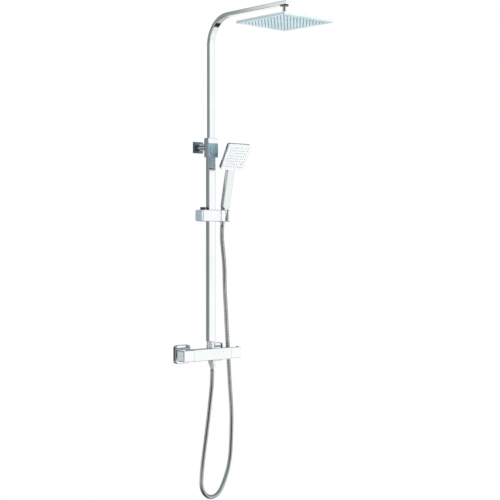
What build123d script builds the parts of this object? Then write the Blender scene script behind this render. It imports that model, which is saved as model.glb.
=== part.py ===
from build123d import *
import os
from math import cos, pi, radians, sin, tan

# Rainfall shower column: a bar mixer on two wall inlets, a telescopic riser with an arm and a square overhead head,
# a wall bracket, and a slider that holds a handset on a ribbed hose.
# The origin lies midway between the two wall inlets, on the face of the wall. +X is right, +Z is up, and the column
# stands out of the wall along -Y. All sizes are in millimetres.

# Clearances
RUN_GAP = 0.05  # a shaft in its bearing or a screw in its thread, on the radius
FIT_GAP = 0.1  # a piece pushed into its seat, on each side
SLIDE_GAP = 0.25  # a piece that slides along another, on each side
SEAT_GAP = 0.3  # two moving faces that come to rest on each other

# Pipe threads, as outer radii
G_HALF_R = 10.48
G_THREE_QUARTER_R = 13.22

# Wall inlets
INLET_SPACING = 150.0
TAIL_LENGTH = 16.0
INLET_BORE_R = 6.0
UNION_COLLAR_R = 12.2
UNION_COLLAR_LENGTH = 17.0
UNION_NECK_R = 9.6
UNION_FLANGE_T = 3.0
INLET_WASHER_T = 1.5
BOSS_LENGTH = 11.0
UNION_NUT_FLATS = 30.0
UNION_NUT_GRIP = 8.0
UNION_NUT_LIP = 3.0
ROSETTE_SIDE = 64.0
ROSETTE_DEPTH = 15.0
ROSETTE_CORNER_R = 10.0
ROSETTE_EDGE_R = 2.5
ROSETTE_WALL = 1.6
CHECK_VALVE_R = 8.5
CHECK_VALVE_LENGTH = 12.0
CHECK_VALVE_BORE_R = 6.8

# Bar mixer
BAR_Y = -66.0
BAR_DEPTH = 38.0
BODY_HEIGHT = 40.0
BODY_LENGTH = 168.0
BAR_FRONT_R = 2.5
BAR_REAR_R = 8.0
RIB_DEPTH = 7.0
RIB_HEIGHT = 24.0
RIB_INSET = 0.5
MIX_BORE_R = 7.0
PORT_R = 4.5
GALLERY_R = 3.5
GALLERY_COVER = 2.5
FAR_PORT_X = 55.0
CHANNEL_R = 3.5
CHANNEL_Z = 13.5
CHANNEL_REACH = 58.0

# Cartridges and knobs
CARTRIDGE_BORE_R = 12.0
THERMOSTAT_TAIL = 19.0
DIVERTER_TAIL = 12.0
CARTRIDGE_OUTLET_DEPTH = 9.0
CARTRIDGE_PORT_R = 9.0
CARTRIDGE_PORT_WIDTH = 9.0
SEAL_T = 2.0
SEAL_DEPTH = 1.6
CARTRIDGE_NUT_R = 14.0
CARTRIDGE_NUT_T = 6.0
SPINDLE_R = 4.0
SPINDLE_SEAT = 28.0
SPINDLE_REACH = 30.0
KNOB_SIDE = 38.0
KNOB_LENGTH = 45.0
KNOB_GAP = 0.5
KNOB_WALL = 3.0
KNOB_END_T = 5.0
KNOB_EDGE = 0.8
KNOB_HUB_R = 8.0
KNOB_HUB_GAP = 3.0
KNOB_CAP_INSET = 2.5
KNOB_CAP_T = 1.6
KNOB_SCREW_R = 2.0
KNOB_SCREW_GRIP = 10.0
KNOB_SCREW_HEAD_R = 3.8
KNOB_SCREW_HEAD_T = 3.0
BUTTON_R = 3.6
BUTTON_FLANGE_R = 4.6
BUTTON_FLANGE_T = 2.0
BUTTON_PROUD = 2.0
BUTTON_INSET = 34.5
BUTTON_FORWARD = 10.0

# Outlets on the top and bottom of the bar
OUTLET_BORE_R = 5.5
HOSE_X = 12.0  # the hose's outlet, to the right of the riser
NIPPLE_ROOT_R = 9.0
NIPPLE_ROOT_LENGTH = 7.5
NIPPLE_FLANGE_R = 12.0
NIPPLE_FLANGE_T = 2.0
NIPPLE_LENGTH = 10.0
OUTLET_WASHER_T = 2.0
RISER_NUT_R = 13.5
RISER_NUT_LIP = 6.0
ADAPTOR_FLANGE_T = 4.0
ADAPTOR_NECK_R = 8.8
ADAPTOR_RISE = 1.0
ADAPTOR_FOOT_T = 2.0
ADAPTOR_PLUG = 20.0
HOSE_NUT_FLATS = 24.0
HOSE_NUT_SKIRT = 12.0
HOSE_NUT_FOOT_R = 8.6

# Riser tubes
RISER_Y = -72.0
TUBE_WALL = 1.2
TUBE_CORNER_R = 2.0
LOWER_WIDTH = 30.0
LOWER_DEPTH = 17.0
UPPER_WIDTH = 24.0
UPPER_DEPTH = 13.0
UPPER_INSERTED = 230.0
ARM_TOP_Z = 1160.0
BEND_R = 93.5
REACH = 360.0
ARM_OVERHANG = 18.0
ARM_CAP_T = 1.5
ARM_CAP_PLUG = 8.0
PISTON_HEIGHT = 8.0
PISTON_SPIGOT = 16.0
PISTON_BORE_R = 3.6
PISTON_SEAL_T = 1.5
PISTON_SEAL_DEPTH = 1.3

# Wall bracket
BLOCK_FOOT_Z = 676.0
BLOCK_HEIGHT = 66.0
BLOCK_WIDTH = 42.0
BLOCK_DEPTH = 22.0
BLOCK_EDGE_R = 1.5
SOCKET_DEPTH = 14.0
TELESCOPE_BUSH_WALL = 1.5
TELESCOPE_BUSH_LENGTH = 22.0
WIPER_T = 7.0
BLOCK_LIP = 4.0
FRONT_CAP_HEIGHT = 48.0
FRONT_CAP_T = 3.0
CLAMP_R = 15.0
CLAMP_T = 2.8
CLAMP_SCREW_R = 3.0
STEM_Z = 713.0
STEM_R = 12.5
STEM_WALL = 3.0
STEM_SPIGOT = 2.0
BRACKET_FLANGE_SIDE = 39.0
BRACKET_FLANGE_T = 9.0
WALL_BOSS_LENGTH = 24.0
WALL_SCREW_R = 2.4
WALL_SCREW_HEAD_R = 4.8
WALL_SCREW_HEAD_T = 3.2
WALL_SCREW_DEPTH = 16.0
WALL_SCREW_SHANK_R = 2.0
GRUB_R = 2.0

# Overhead head and its swivel
HEAD_SIDE = 220.0
HEAD_DROP = 70.0
HEAD_FACE_T = 3.0
HEAD_SHELL_T = 5.0
HEAD_SHELL_WALL = 1.6
HEAD_CORNER_R = 3.0
HEAD_NOZZLES = 13
HEAD_NOZZLE_PITCH = 14.5
HEAD_NOZZLE_R = 1.8
NOZZLE_PROUD = 1.5
MAT_T = 1.5
MAT_MARGIN = 4.0
BALL_R = 9.0
BALL_RISE = 11.0
BALL_BOSS_R = 15.0
BALL_BOSS_DROP = 2.2
BALL_SEAL_T = 1.8
BALL_NUT_R = 18.0
BALL_NUT_TOP = 10.0
BALL_LIP = 5.0
BALL_MOUTH_R = 10.0
NECK_R = 5.5
SPIGOT_R = 4.0
STUD_BORE_R = 2.2
ARM_FLANGE_R = 14.0
ARM_FLANGE_T = 3.0
ARM_NIPPLE_R = 6.0
ARM_NIPPLE_RISE = 3.5
CLIP_T = 1.0
CLIP_WIDTH = 1.6
CLIP_GROOVE = 0.6

# Slider and handset holder
SLIDER_Z = 476.0
SLIDER_HEIGHT = 40.0
SLIDER_DEPTH = 35.0
SLIDER_LEFT = -47.0
SLIDER_RIGHT = 31.0
SLIDER_CORNER_R = 3.0
SLIDER_CAP_LENGTH = 8.0
SLIDER_CAP_INSET = 1.0
SLIDER_BUSH_WALL = 1.75
TAB_X = -28.0
TAB_Y = -64.0
TAB_LENGTH = 17.0
TAB_DEPTH = 12.0
TAB_CORNER_R = 2.0
TAB_RISE = 9.0
TAB_SINK = 6.0
TAB_TRAVEL = 3.0
PIVOT_R = 3.0
PIVOT_GRIP = 12.0
PIVOT_HEAD_R = 5.2
PIVOT_HEAD_T = 2.5
PIVOT_SEAT_T = 5.0
PIVOT_BOSS_R = 12.0
PIVOT_BOSS_T = 2.3
HOLDER_GAP = 0.3
HOLDER_WIDTH = 41.0
HOLDER_CUP = 25.0  # from the holder's left end to the middle of its cup
HOLDER_SLOT = 15.4

# Handset, along the axis of its cone from the holder's pivot
CONE_LEAN = 11.6
CONE_BELOW = 24.0
CONE_ABOVE = 20.0
CONE_FOOT_R = 9.6
CONE_TOP_R = 12.4
CONE_THREAD = 12.0
HANDLE_WIDTH = 32.0
HANDLE_THICK = 15.5
HANDLE_FORWARD = 1.5  # the middle of the handle in front of the cone's axis
HANDLE_CORNER_R = 2.5
HANDLE_TAPER = 14.0
HANDLE_TOP = 184.0
HANDLE_WALL = 2.6
HANDSET_HEAD_WIDTH = 103.0
HANDSET_HEAD_LENGTH = 96.0
HANDSET_HEAD_THICK = 15.5
HANDSET_HEAD_CORNER_R = 6.0
HANDSET_FRAME_T = 8.0  # the straight rim behind the face; the rest of the head draws in
HANDSET_HEAD_DRAFT = 8.0
HANDSET_HEAD_BACK_R = 2.5
HANDSET_HEAD_WALL = 2.5
HANDSET_HEAD_LEAN = 28.5
HANDSET_HEAD_FORWARD = 68.0
HANDSET_HEAD_UP = 198.7
HANDSET_FACE_T = 3.0
HANDSET_COLUMNS = 9
HANDSET_ROWS = 8
HANDSET_COLUMN_PITCH = 9.5
HANDSET_ROW_PITCH = 10.0
HANDSET_NOZZLE_R = 1.3
HANDSET_NOZZLE_PROUD = 1.0

# Hose
HOSE_R = 7.0
HOSE_GROOVE_R = 6.1
HOSE_BORE_R = 4.5
HOSE_RIB_PITCH = 8.0
HOSE_FIRST_RUN = 38.0
HOSE_LAST_RUN = 50.0
# The free run of the hose, from below the holder, behind the bar's right end, round the loop and up to the outlet.
HOSE_ROUTE = [
    (85, -48, 305),
    (90, -42, 228),
    (101, -36, 158),
    (111, -30, 80),
    (121, -28, -20),
    (127, -29, -124),
    (132, -33, -209),
    (125, -39, -305),
    (113, -45, -388),
    (80, -51, -455),
    (46, -56, -494),
    (-1, -60, -497),
    (-36, -63, -463),
    (-35, -65, -403),
    (-22, -66, -319),
    (-8, -66, -239),
    (4, -66, -156),
]
HOSE_SPLITS = (1, 2)  # the runs whose middles part the top, middle and main lengths

# Places that follow from the sizes
INLET_X = INLET_SPACING / 2
BODY_END = BODY_LENGTH / 2
BODY_TOP = BODY_HEIGHT / 2
BAR_BACK_Y = BAR_Y + BAR_DEPTH / 2
BOSS_FOOT_Y = BAR_BACK_Y + RIB_DEPTH
BOSS_END_Y = BOSS_FOOT_Y + BOSS_LENGTH
UNION_END_Y = BOSS_END_Y + INLET_WASHER_T
UNION_FLANGE_Y = UNION_END_Y + UNION_FLANGE_T
CHECK_VALVE_Y = BOSS_END_Y - CHECK_VALVE_LENGTH
THERMOSTAT_END = FAR_PORT_X - THERMOSTAT_TAIL
DIVERTER_END = CHANNEL_REACH - DIVERTER_TAIL
GALLERY_Y = BOSS_FOOT_Y - GALLERY_COVER - GALLERY_R
KNOB_START = BODY_END + KNOB_GAP
KNOB_END = KNOB_START + KNOB_LENGTH
KNOB_CAP_SEAT = KNOB_END - KNOB_CAP_T
SPINDLE_END = BODY_END + SPINDLE_REACH
SCREW_HEAD_SEAT = KNOB_CAP_SEAT - KNOB_SCREW_HEAD_T - SEAT_GAP
NIPPLE_TOP = BODY_TOP + NIPPLE_FLANGE_T + NIPPLE_LENGTH
WASHER_TOP = NIPPLE_TOP + OUTLET_WASHER_T
RISER_NUT_SEAT = WASHER_TOP + ADAPTOR_FLANGE_T
RISER_NUT_TOP = RISER_NUT_SEAT + RISER_NUT_LIP
LOWER_FOOT_Z = RISER_NUT_TOP + ADAPTOR_RISE + ADAPTOR_FOOT_T
LOWER_TOP_Z = BLOCK_FOOT_Z + SOCKET_DEPTH
LOWER_BORE = (LOWER_WIDTH - 2 * TUBE_WALL, LOWER_DEPTH - 2 * TUBE_WALL)
UPPER_BORE = (UPPER_WIDTH - 2 * TUBE_WALL, UPPER_DEPTH - 2 * TUBE_WALL)
BORE_CORNER_R = TUBE_CORNER_R - TUBE_WALL
BLOCK_TOP_Z = BLOCK_FOOT_Z + BLOCK_HEIGHT
BLOCK_FRONT_Y = RISER_Y - BLOCK_DEPTH / 2
BLOCK_BACK_Y = RISER_Y + BLOCK_DEPTH / 2
UPPER_FOOT_Z = BLOCK_TOP_Z - UPPER_INSERTED
ARM_Z = ARM_TOP_Z - UPPER_DEPTH / 2
BEND_Z = ARM_Z - BEND_R
BEND_Y = RISER_Y - BEND_R
DROP_Y = RISER_Y - REACH
ARM_END_Y = DROP_Y - ARM_OVERHANG
ARM_UNDER_Z = ARM_TOP_Z - UPPER_DEPTH
ARM_FLANGE_Z = ARM_UNDER_Z - ARM_FLANGE_T
NIPPLE_CROWN_Z = ARM_UNDER_Z + ARM_NIPPLE_RISE
HEAD_FACE_Z = ARM_TOP_Z - HEAD_DROP
HEAD_SHELL_Z = HEAD_FACE_Z + HEAD_FACE_T
HEAD_TOP_Z = HEAD_SHELL_Z + HEAD_SHELL_T
BALL_Z = HEAD_TOP_Z + BALL_RISE
BALL_BOSS_TOP = BALL_Z - BALL_BOSS_DROP
CLAMP_Z = BLOCK_FOOT_Z + FRONT_CAP_HEIGHT / 2
FRONT_CAP_Y = BLOCK_FRONT_Y - FRONT_CAP_T
HOLDER_LEFT = SLIDER_RIGHT + PIVOT_BOSS_T + HOLDER_GAP
HOLDER_X = HOLDER_LEFT + HOLDER_CUP
SLIDER_TOP = SLIDER_Z + SLIDER_HEIGHT / 2
SLIDER_FOOT = SLIDER_Z - SLIDER_HEIGHT / 2
HOSE_NUT_FLOOR = WASHER_TOP
HOSE_NUT_END = HOSE_NUT_FLOOR + HOSE_NUT_SKIRT
HANDSET = Plane(
    origin=(HOLDER_X, RISER_Y, SLIDER_Z),
    x_dir=(1, 0, 0),
    z_dir=(0, -sin(radians(CONE_LEAN)), cos(radians(CONE_LEAN))),
)
HANDSET_HEAD = Plane(
    origin=(HOLDER_X, RISER_Y - HANDSET_HEAD_FORWARD, SLIDER_Z + HANDSET_HEAD_UP),
    x_dir=(1, 0, 0),
    z_dir=(0, -cos(radians(HANDSET_HEAD_LEAN)), -sin(radians(HANDSET_HEAD_LEAN))),
)
LEFT, RIGHT = -1, 1
DIVERTER, THERMOSTAT = LEFT, RIGHT
THROUGH = 1.0  # how far a cut runs past the face that it opens


def prism(axis, low, high, sketch, x=0.0, y=0.0, z=0.0):
    """A sketch pushed along one frame axis, from low to high on it."""
    x_dir, z_dir = {"x": ((0, 1, 0), (1, 0, 0)), "y": ((1, 0, 0), (0, 1, 0)), "z": ((1, 0, 0), (0, 0, 1))}[axis]
    origin = {"x": (low, y, z), "y": (x, low, z), "z": (x, y, low)}[axis]
    return Plane(origin=origin, x_dir=x_dir, z_dir=z_dir) * extrude(sketch, high - low)


def endwise(side, near, far, sketch, y=BAR_Y, z=0.0):
    """A sketch pushed along X on one side of the middle, between two distances from it."""
    low, high = sorted((side * near, side * far))
    return prism("x", low, high, sketch, y=y, z=z)


def ring(outer, inner):
    return Circle(outer) - Circle(inner)


def frame_section(outer, inner, corner):
    """A rectangular ring, from its outer and inner width and depth."""
    return RectangleRounded(*outer, corner) - RectangleRounded(*inner, max(corner - (outer[0] - inner[0]) / 2, 0.3))


def on_handset(low, high, sketch):
    """A sketch pushed along the handset's cone axis."""
    return HANDSET * (Pos(0, 0, low) * extrude(sketch, high - low))


def on_handset_face(low, high, sketch):
    """A sketch pushed along the outward normal of the handset's face."""
    return HANDSET_HEAD * (Pos(0, 0, low) * extrude(sketch, high - low))


def bar_section(depth, height, inset=0.0):
    """The bar's section across X: square at the front and rounder at the back, drawn in by an inset."""
    section = Rectangle(depth - 2 * inset, height - 2 * inset)
    section = fillet(section.vertices().group_by(Axis.X)[-1], BAR_REAR_R - inset)
    return fillet(section.vertices().group_by(Axis.X)[0], max(BAR_FRONT_R - inset, SEAT_GAP))


def save(name, *solids):
    export_step(solids[0] if len(solids) == 1 else Compound(list(solids)), f"parts/{name}.step")


# Wall inlets
def inlet_union(side):
    x = side * INLET_X
    union = prism("y", 0, TAIL_LENGTH, Circle(G_HALF_R), x=x)
    union += prism("y", -UNION_COLLAR_LENGTH, 0, Circle(UNION_COLLAR_R), x=x)
    union += prism("y", UNION_END_Y, -UNION_COLLAR_LENGTH, Circle(UNION_NECK_R), x=x)
    union += prism("y", UNION_END_Y, UNION_FLANGE_Y, Circle(UNION_COLLAR_R), x=x)
    return union - prism("y", UNION_END_Y, TAIL_LENGTH, Circle(INLET_BORE_R), x=x)


def union_nut(side):
    x = side * INLET_X
    start = BOSS_END_Y - UNION_NUT_GRIP
    hexagon = RegularPolygon(UNION_NUT_FLATS / 2, 6, major_radius=False)
    nut = prism("y", start, UNION_FLANGE_Y + UNION_NUT_LIP, hexagon, x=x)
    nut -= prism("y", start, UNION_FLANGE_Y, Circle(G_THREE_QUARTER_R + RUN_GAP), x=x)
    return nut - prism("y", start, 0, Circle(UNION_NECK_R + FIT_GAP), x=x)


def inlet_washer(side):
    return prism("y", BOSS_END_Y, UNION_END_Y, ring(UNION_COLLAR_R, CHECK_VALVE_BORE_R), x=side * INLET_X)


def check_valve(side):
    sleeve = ring(CHECK_VALVE_R, CHECK_VALVE_BORE_R)
    valve = prism("y", CHECK_VALVE_Y, BOSS_END_Y, sleeve, x=side * INLET_X)
    middle = (CHECK_VALVE_Y + BOSS_END_Y) / 2
    spider = Rectangle(2 * CHECK_VALVE_BORE_R, SEAL_T) + Rectangle(SEAL_T, 2 * CHECK_VALVE_BORE_R)
    return valve + prism("y", CHECK_VALVE_Y, middle, spider, x=side * INLET_X)


def wall_rosette(side):
    x = side * INLET_X
    plate = RectangleRounded(ROSETTE_SIDE, ROSETTE_SIDE, ROSETTE_CORNER_R)
    hollow_side = ROSETTE_SIDE - 2 * ROSETTE_WALL
    hollow = RectangleRounded(hollow_side, hollow_side, ROSETTE_CORNER_R - ROSETTE_WALL)
    rosette = prism("y", -ROSETTE_DEPTH, 0, plate, x=x)
    rosette = fillet(rosette.faces().sort_by(Axis.Y)[0].edges(), ROSETTE_EDGE_R)
    rosette -= prism("y", ROSETTE_WALL - ROSETTE_DEPTH, THROUGH, hollow, x=x)
    return rosette - prism("y", -ROSETTE_DEPTH - THROUGH, 0, Circle(UNION_COLLAR_R + FIT_GAP), x=x)


# Bar mixer
def valve_body():
    body = endwise(RIGHT, -BODY_END, BODY_END, bar_section(BAR_DEPTH, BODY_HEIGHT))
    body += prism("y", BAR_Y, BOSS_FOOT_Y, Rectangle(BODY_LENGTH - 2 * RIB_INSET, RIB_HEIGHT))
    for side in (LEFT, RIGHT):
        x = side * INLET_X
        body += prism("y", BOSS_FOOT_Y, BOSS_END_Y, Circle(G_THREE_QUARTER_R), x=x)
        body -= prism("y", CHECK_VALVE_Y, BOSS_END_Y, Circle(CHECK_VALVE_R + FIT_GAP), x=x)
    # the near inlet opens straight into the thermostatic cartridge, and the far one through a gallery along the back
    body -= prism("y", BAR_Y, CHECK_VALVE_Y, Circle(PORT_R), x=THERMOSTAT * INLET_X)
    body -= prism("y", GALLERY_Y, CHECK_VALVE_Y, Circle(GALLERY_R), x=DIVERTER * INLET_X)
    body -= endwise(THERMOSTAT, -INLET_X, FAR_PORT_X, Circle(GALLERY_R), y=GALLERY_Y)
    body -= prism("y", BAR_Y, GALLERY_Y, Circle(GALLERY_R), x=THERMOSTAT * FAR_PORT_X)
    body -= endwise(THERMOSTAT, THERMOSTAT_END, BODY_END, Circle(CARTRIDGE_BORE_R))
    body -= endwise(DIVERTER, DIVERTER_END, BODY_END, Circle(CARTRIDGE_BORE_R))
    body -= endwise(RIGHT, -BODY_END, BODY_END, Circle(MIX_BORE_R))
    for x, y, z in ((0, RISER_Y, CHANNEL_Z), (HOSE_X, BAR_Y, -CHANNEL_Z)):
        body -= endwise(DIVERTER, DIVERTER * x, CHANNEL_REACH, Circle(CHANNEL_R), y=y, z=z)
    root = Circle(NIPPLE_ROOT_R + RUN_GAP)
    body -= prism("z", BODY_TOP - NIPPLE_ROOT_LENGTH - SEAT_GAP, BODY_TOP, root, y=RISER_Y)
    return body - prism("z", -BODY_TOP, NIPPLE_ROOT_LENGTH + SEAT_GAP - BODY_TOP, root, x=HOSE_X, y=BAR_Y)


def seal_places(side):
    """Distances from the bar's middle at which a cartridge is sealed."""
    if side == THERMOSTAT:
        return (BODY_END - SEAL_T, (INLET_X + FAR_PORT_X) / 2, FAR_PORT_X - CARTRIDGE_PORT_WIDTH)
    return (BODY_END - SEAL_T, INLET_X - CARTRIDGE_PORT_WIDTH)


def cartridge(side, inner, ports):
    groove = ring(CARTRIDGE_BORE_R, CARTRIDGE_BORE_R - SEAL_DEPTH)
    body = endwise(side, inner, BODY_END, Circle(CARTRIDGE_BORE_R - FIT_GAP))
    for place in seal_places(side):
        body -= endwise(side, place - SEAL_T / 2, place + SEAL_T / 2, groove)
    for place in ports:
        reach = CARTRIDGE_PORT_WIDTH / 2
        body -= endwise(side, place - reach, place + reach, ring(CARTRIDGE_BORE_R, CARTRIDGE_PORT_R))
    body -= endwise(side, BODY_END - SPINDLE_SEAT, BODY_END, Circle(SPINDLE_R + RUN_GAP))
    return body - endwise(side, inner, inner + CARTRIDGE_OUTLET_DEPTH, Circle(OUTLET_BORE_R))


def cartridge_seals():
    section = ring(CARTRIDGE_BORE_R - RUN_GAP, CARTRIDGE_BORE_R - SEAL_DEPTH + RUN_GAP)
    places = [(side, place) for side in (LEFT, RIGHT) for place in seal_places(side)]
    return [endwise(side, place - SEAL_T / 2, place + SEAL_T / 2, section) for side, place in places]


def cartridge_nut(side):
    opening = SPINDLE_R + SEAT_GAP
    return endwise(side, BODY_END, BODY_END + CARTRIDGE_NUT_T, ring(CARTRIDGE_NUT_R, opening))


def knob_spindle(side):
    start = BODY_END - SPINDLE_SEAT + SEAT_GAP
    spindle = endwise(side, start, SPINDLE_END, Circle(SPINDLE_R))
    tapped = Circle(KNOB_SCREW_R + RUN_GAP)
    return spindle - endwise(side, SPINDLE_END - KNOB_SCREW_GRIP - SEAT_GAP, SPINDLE_END, tapped)


def knob(side):
    """A hollow square knob with a hub for its spindle and a seat for the screw under its end cap."""
    outer = endwise(side, KNOB_START, KNOB_END, bar_section(KNOB_SIDE, KNOB_SIDE))
    outer = chamfer(outer.faces().sort_by(Axis.X)[-1 if side == RIGHT else 0].edges(), KNOB_EDGE)
    made = outer - endwise(side, KNOB_START, KNOB_END - KNOB_END_T, bar_section(KNOB_SIDE, KNOB_SIDE, KNOB_WALL))
    hub_start = BODY_END + CARTRIDGE_NUT_T + KNOB_HUB_GAP
    made += endwise(side, hub_start, KNOB_END - KNOB_END_T, Circle(KNOB_HUB_R))
    made -= endwise(side, hub_start, SPINDLE_END + FIT_GAP, Circle(SPINDLE_R + FIT_GAP))
    made -= endwise(side, SPINDLE_END, SCREW_HEAD_SEAT, Circle(KNOB_SCREW_R + FIT_GAP))
    made -= endwise(side, SCREW_HEAD_SEAT, KNOB_END, Circle(KNOB_SCREW_HEAD_R + FIT_GAP))
    return made - endwise(side, KNOB_CAP_SEAT, KNOB_END, bar_section(KNOB_SIDE, KNOB_SIDE, KNOB_CAP_INSET - FIT_GAP))


def knob_screw(side):
    shank = endwise(side, SPINDLE_END - KNOB_SCREW_GRIP, SCREW_HEAD_SEAT, Circle(KNOB_SCREW_R))
    return shank + endwise(side, SCREW_HEAD_SEAT, SCREW_HEAD_SEAT + KNOB_SCREW_HEAD_T, Circle(KNOB_SCREW_HEAD_R))


def knob_cap(side):
    return endwise(side, KNOB_CAP_SEAT, KNOB_END, bar_section(KNOB_SIDE, KNOB_SIDE, KNOB_CAP_INSET))


def button_place():
    return {"x": THERMOSTAT * (KNOB_START + BUTTON_INSET), "y": BAR_Y - BUTTON_FORWARD}


def temperature_knob():
    hole = Circle(BUTTON_R + RUN_GAP)
    wall = KNOB_SIDE / 2 - KNOB_WALL
    return knob(THERMOSTAT) - prism("z", wall - THROUGH, KNOB_SIDE / 2 + THROUGH, hole, **button_place())


def stop_button():
    inside = KNOB_SIDE / 2 - KNOB_WALL - SEAT_GAP
    button = prism("z", inside, KNOB_SIDE / 2 + BUTTON_PROUD, Circle(BUTTON_R), **button_place())
    return button + prism("z", inside - BUTTON_FLANGE_T, inside, Circle(BUTTON_FLANGE_R), **button_place())


# Outlets and the foot of the riser
def outlet_nipple(up, x, y):
    """A threaded nipple on the top (up = 1) or the bottom (up = -1) of the bar."""

    def part(near, far, radius):
        low, high = sorted((up * near, up * far))
        return prism("z", low, high, Circle(radius), x=x, y=y)

    nipple = part(BODY_TOP - NIPPLE_ROOT_LENGTH, BODY_TOP, NIPPLE_ROOT_R)
    nipple += part(BODY_TOP, BODY_TOP + NIPPLE_FLANGE_T, NIPPLE_FLANGE_R)
    nipple += part(BODY_TOP + NIPPLE_FLANGE_T, NIPPLE_TOP, G_HALF_R)
    return nipple - part(0, NIPPLE_TOP, OUTLET_BORE_R)


def outlet_washers():
    section = ring(G_HALF_R - FIT_GAP, OUTLET_BORE_R)
    riser = prism("z", NIPPLE_TOP, WASHER_TOP, section, y=RISER_Y)
    hose = prism("z", -WASHER_TOP, -NIPPLE_TOP, section, x=HOSE_X, y=BAR_Y)
    return riser, hose


def riser_union_nut():
    start = BODY_TOP + NIPPLE_FLANGE_T + FIT_GAP
    nut = prism("z", start, RISER_NUT_TOP, Circle(RISER_NUT_R), y=RISER_Y)
    nut -= prism("z", start, RISER_NUT_SEAT, Circle(G_HALF_R + RUN_GAP), y=RISER_Y)
    return nut - prism("z", start, RISER_NUT_TOP, Circle(ADAPTOR_NECK_R + FIT_GAP), y=RISER_Y)


def riser_adaptor():
    foot_z = LOWER_FOOT_Z - ADAPTOR_FOOT_T
    plug_size = [bore - 2 * FIT_GAP for bore in LOWER_BORE]
    adaptor = prism("z", WASHER_TOP, RISER_NUT_SEAT, Circle(G_HALF_R - FIT_GAP), y=RISER_Y)
    adaptor += prism("z", RISER_NUT_SEAT, foot_z, Circle(ADAPTOR_NECK_R), y=RISER_Y)
    foot = RectangleRounded(LOWER_WIDTH, LOWER_DEPTH, TUBE_CORNER_R)
    adaptor += prism("z", foot_z, LOWER_FOOT_Z, foot, y=RISER_Y)
    plug = RectangleRounded(*plug_size, BORE_CORNER_R)
    adaptor += prism("z", LOWER_FOOT_Z, LOWER_FOOT_Z + ADAPTOR_PLUG, plug, y=RISER_Y)
    return adaptor - prism("z", WASHER_TOP, LOWER_FOOT_Z + ADAPTOR_PLUG, Circle(OUTLET_BORE_R), y=RISER_Y)


def lower_tube():
    section = frame_section((LOWER_WIDTH, LOWER_DEPTH), LOWER_BORE, TUBE_CORNER_R)
    return prism("z", LOWER_FOOT_Z, LOWER_TOP_Z, section, y=RISER_Y)


# Upper tube with the arm
def bent_bar(section, foot, tip):
    """A section that rises from foot, bends over and runs out to tip along the arm."""
    bar = prism("z", foot, BEND_Z, section, y=RISER_Y)
    start = Plane(origin=(0, RISER_Y, BEND_Z), x_dir=(1, 0, 0), z_dir=(0, 0, 1)) * section
    bar += revolve(start, Axis((0, BEND_Y, BEND_Z), (1, 0, 0)), 90)
    return bar + prism("y", tip, BEND_Y, section, z=ARM_Z)


def upper_tube():
    outer = RectangleRounded(UPPER_WIDTH, UPPER_DEPTH, TUBE_CORNER_R)
    bore = RectangleRounded(*UPPER_BORE, BORE_CORNER_R)
    tube = bent_bar(outer, UPPER_FOOT_Z, ARM_END_Y) - bent_bar(bore, UPPER_FOOT_Z, ARM_END_Y)
    return tube - prism("z", ARM_UNDER_Z - THROUGH, ARM_Z, Circle(ARM_NIPPLE_R + FIT_GAP), y=DROP_Y)


def arm_end_cap():
    outer = RectangleRounded(UPPER_WIDTH, UPPER_DEPTH, TUBE_CORNER_R)
    plug = RectangleRounded(*[bore - 2 * FIT_GAP for bore in UPPER_BORE], BORE_CORNER_R)
    cap = prism("y", ARM_END_Y - ARM_CAP_T, ARM_END_Y, outer, z=ARM_Z)
    return cap + prism("y", ARM_END_Y, ARM_END_Y + ARM_CAP_PLUG, plug, z=ARM_Z)


def piston_seal_levels():
    foot = UPPER_FOOT_Z - PISTON_HEIGHT
    return [foot + PISTON_HEIGHT * share for share in (0.3, 0.7)]


def piston_section(inset):
    return [bore - 2 * (SLIDE_GAP + inset) for bore in LOWER_BORE]


def piston_carrier():
    spigot = RectangleRounded(*[bore - 2 * FIT_GAP for bore in UPPER_BORE], BORE_CORNER_R)
    carrier = prism(
        "z", UPPER_FOOT_Z - PISTON_HEIGHT, UPPER_FOOT_Z, RectangleRounded(*piston_section(0), BORE_CORNER_R), y=RISER_Y
    )
    groove = frame_section(piston_section(-THROUGH), piston_section(PISTON_SEAL_DEPTH), BORE_CORNER_R)
    for level in piston_seal_levels():
        carrier -= prism("z", level - PISTON_SEAL_T / 2, level + PISTON_SEAL_T / 2, groove, y=RISER_Y)
    carrier += prism("z", UPPER_FOOT_Z, UPPER_FOOT_Z + PISTON_SPIGOT, spigot, y=RISER_Y)
    bore = Circle(PISTON_BORE_R)
    return carrier - prism("z", UPPER_FOOT_Z - PISTON_HEIGHT, UPPER_FOOT_Z + PISTON_SPIGOT, bore, y=RISER_Y)


def piston_seals():
    section = frame_section(piston_section(FIT_GAP - SLIDE_GAP), piston_section(PISTON_SEAL_DEPTH), BORE_CORNER_R)
    half = PISTON_SEAL_T / 2
    return [prism("z", level - half, level + half, section, y=RISER_Y) for level in piston_seal_levels()]


# Wall bracket
def telescope_chamber():
    return [size + 2 * TELESCOPE_BUSH_WALL for size in (UPPER_WIDTH, UPPER_DEPTH)]


def upper_passage(gap):
    return [size + 2 * gap for size in (UPPER_WIDTH, UPPER_DEPTH)]


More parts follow.
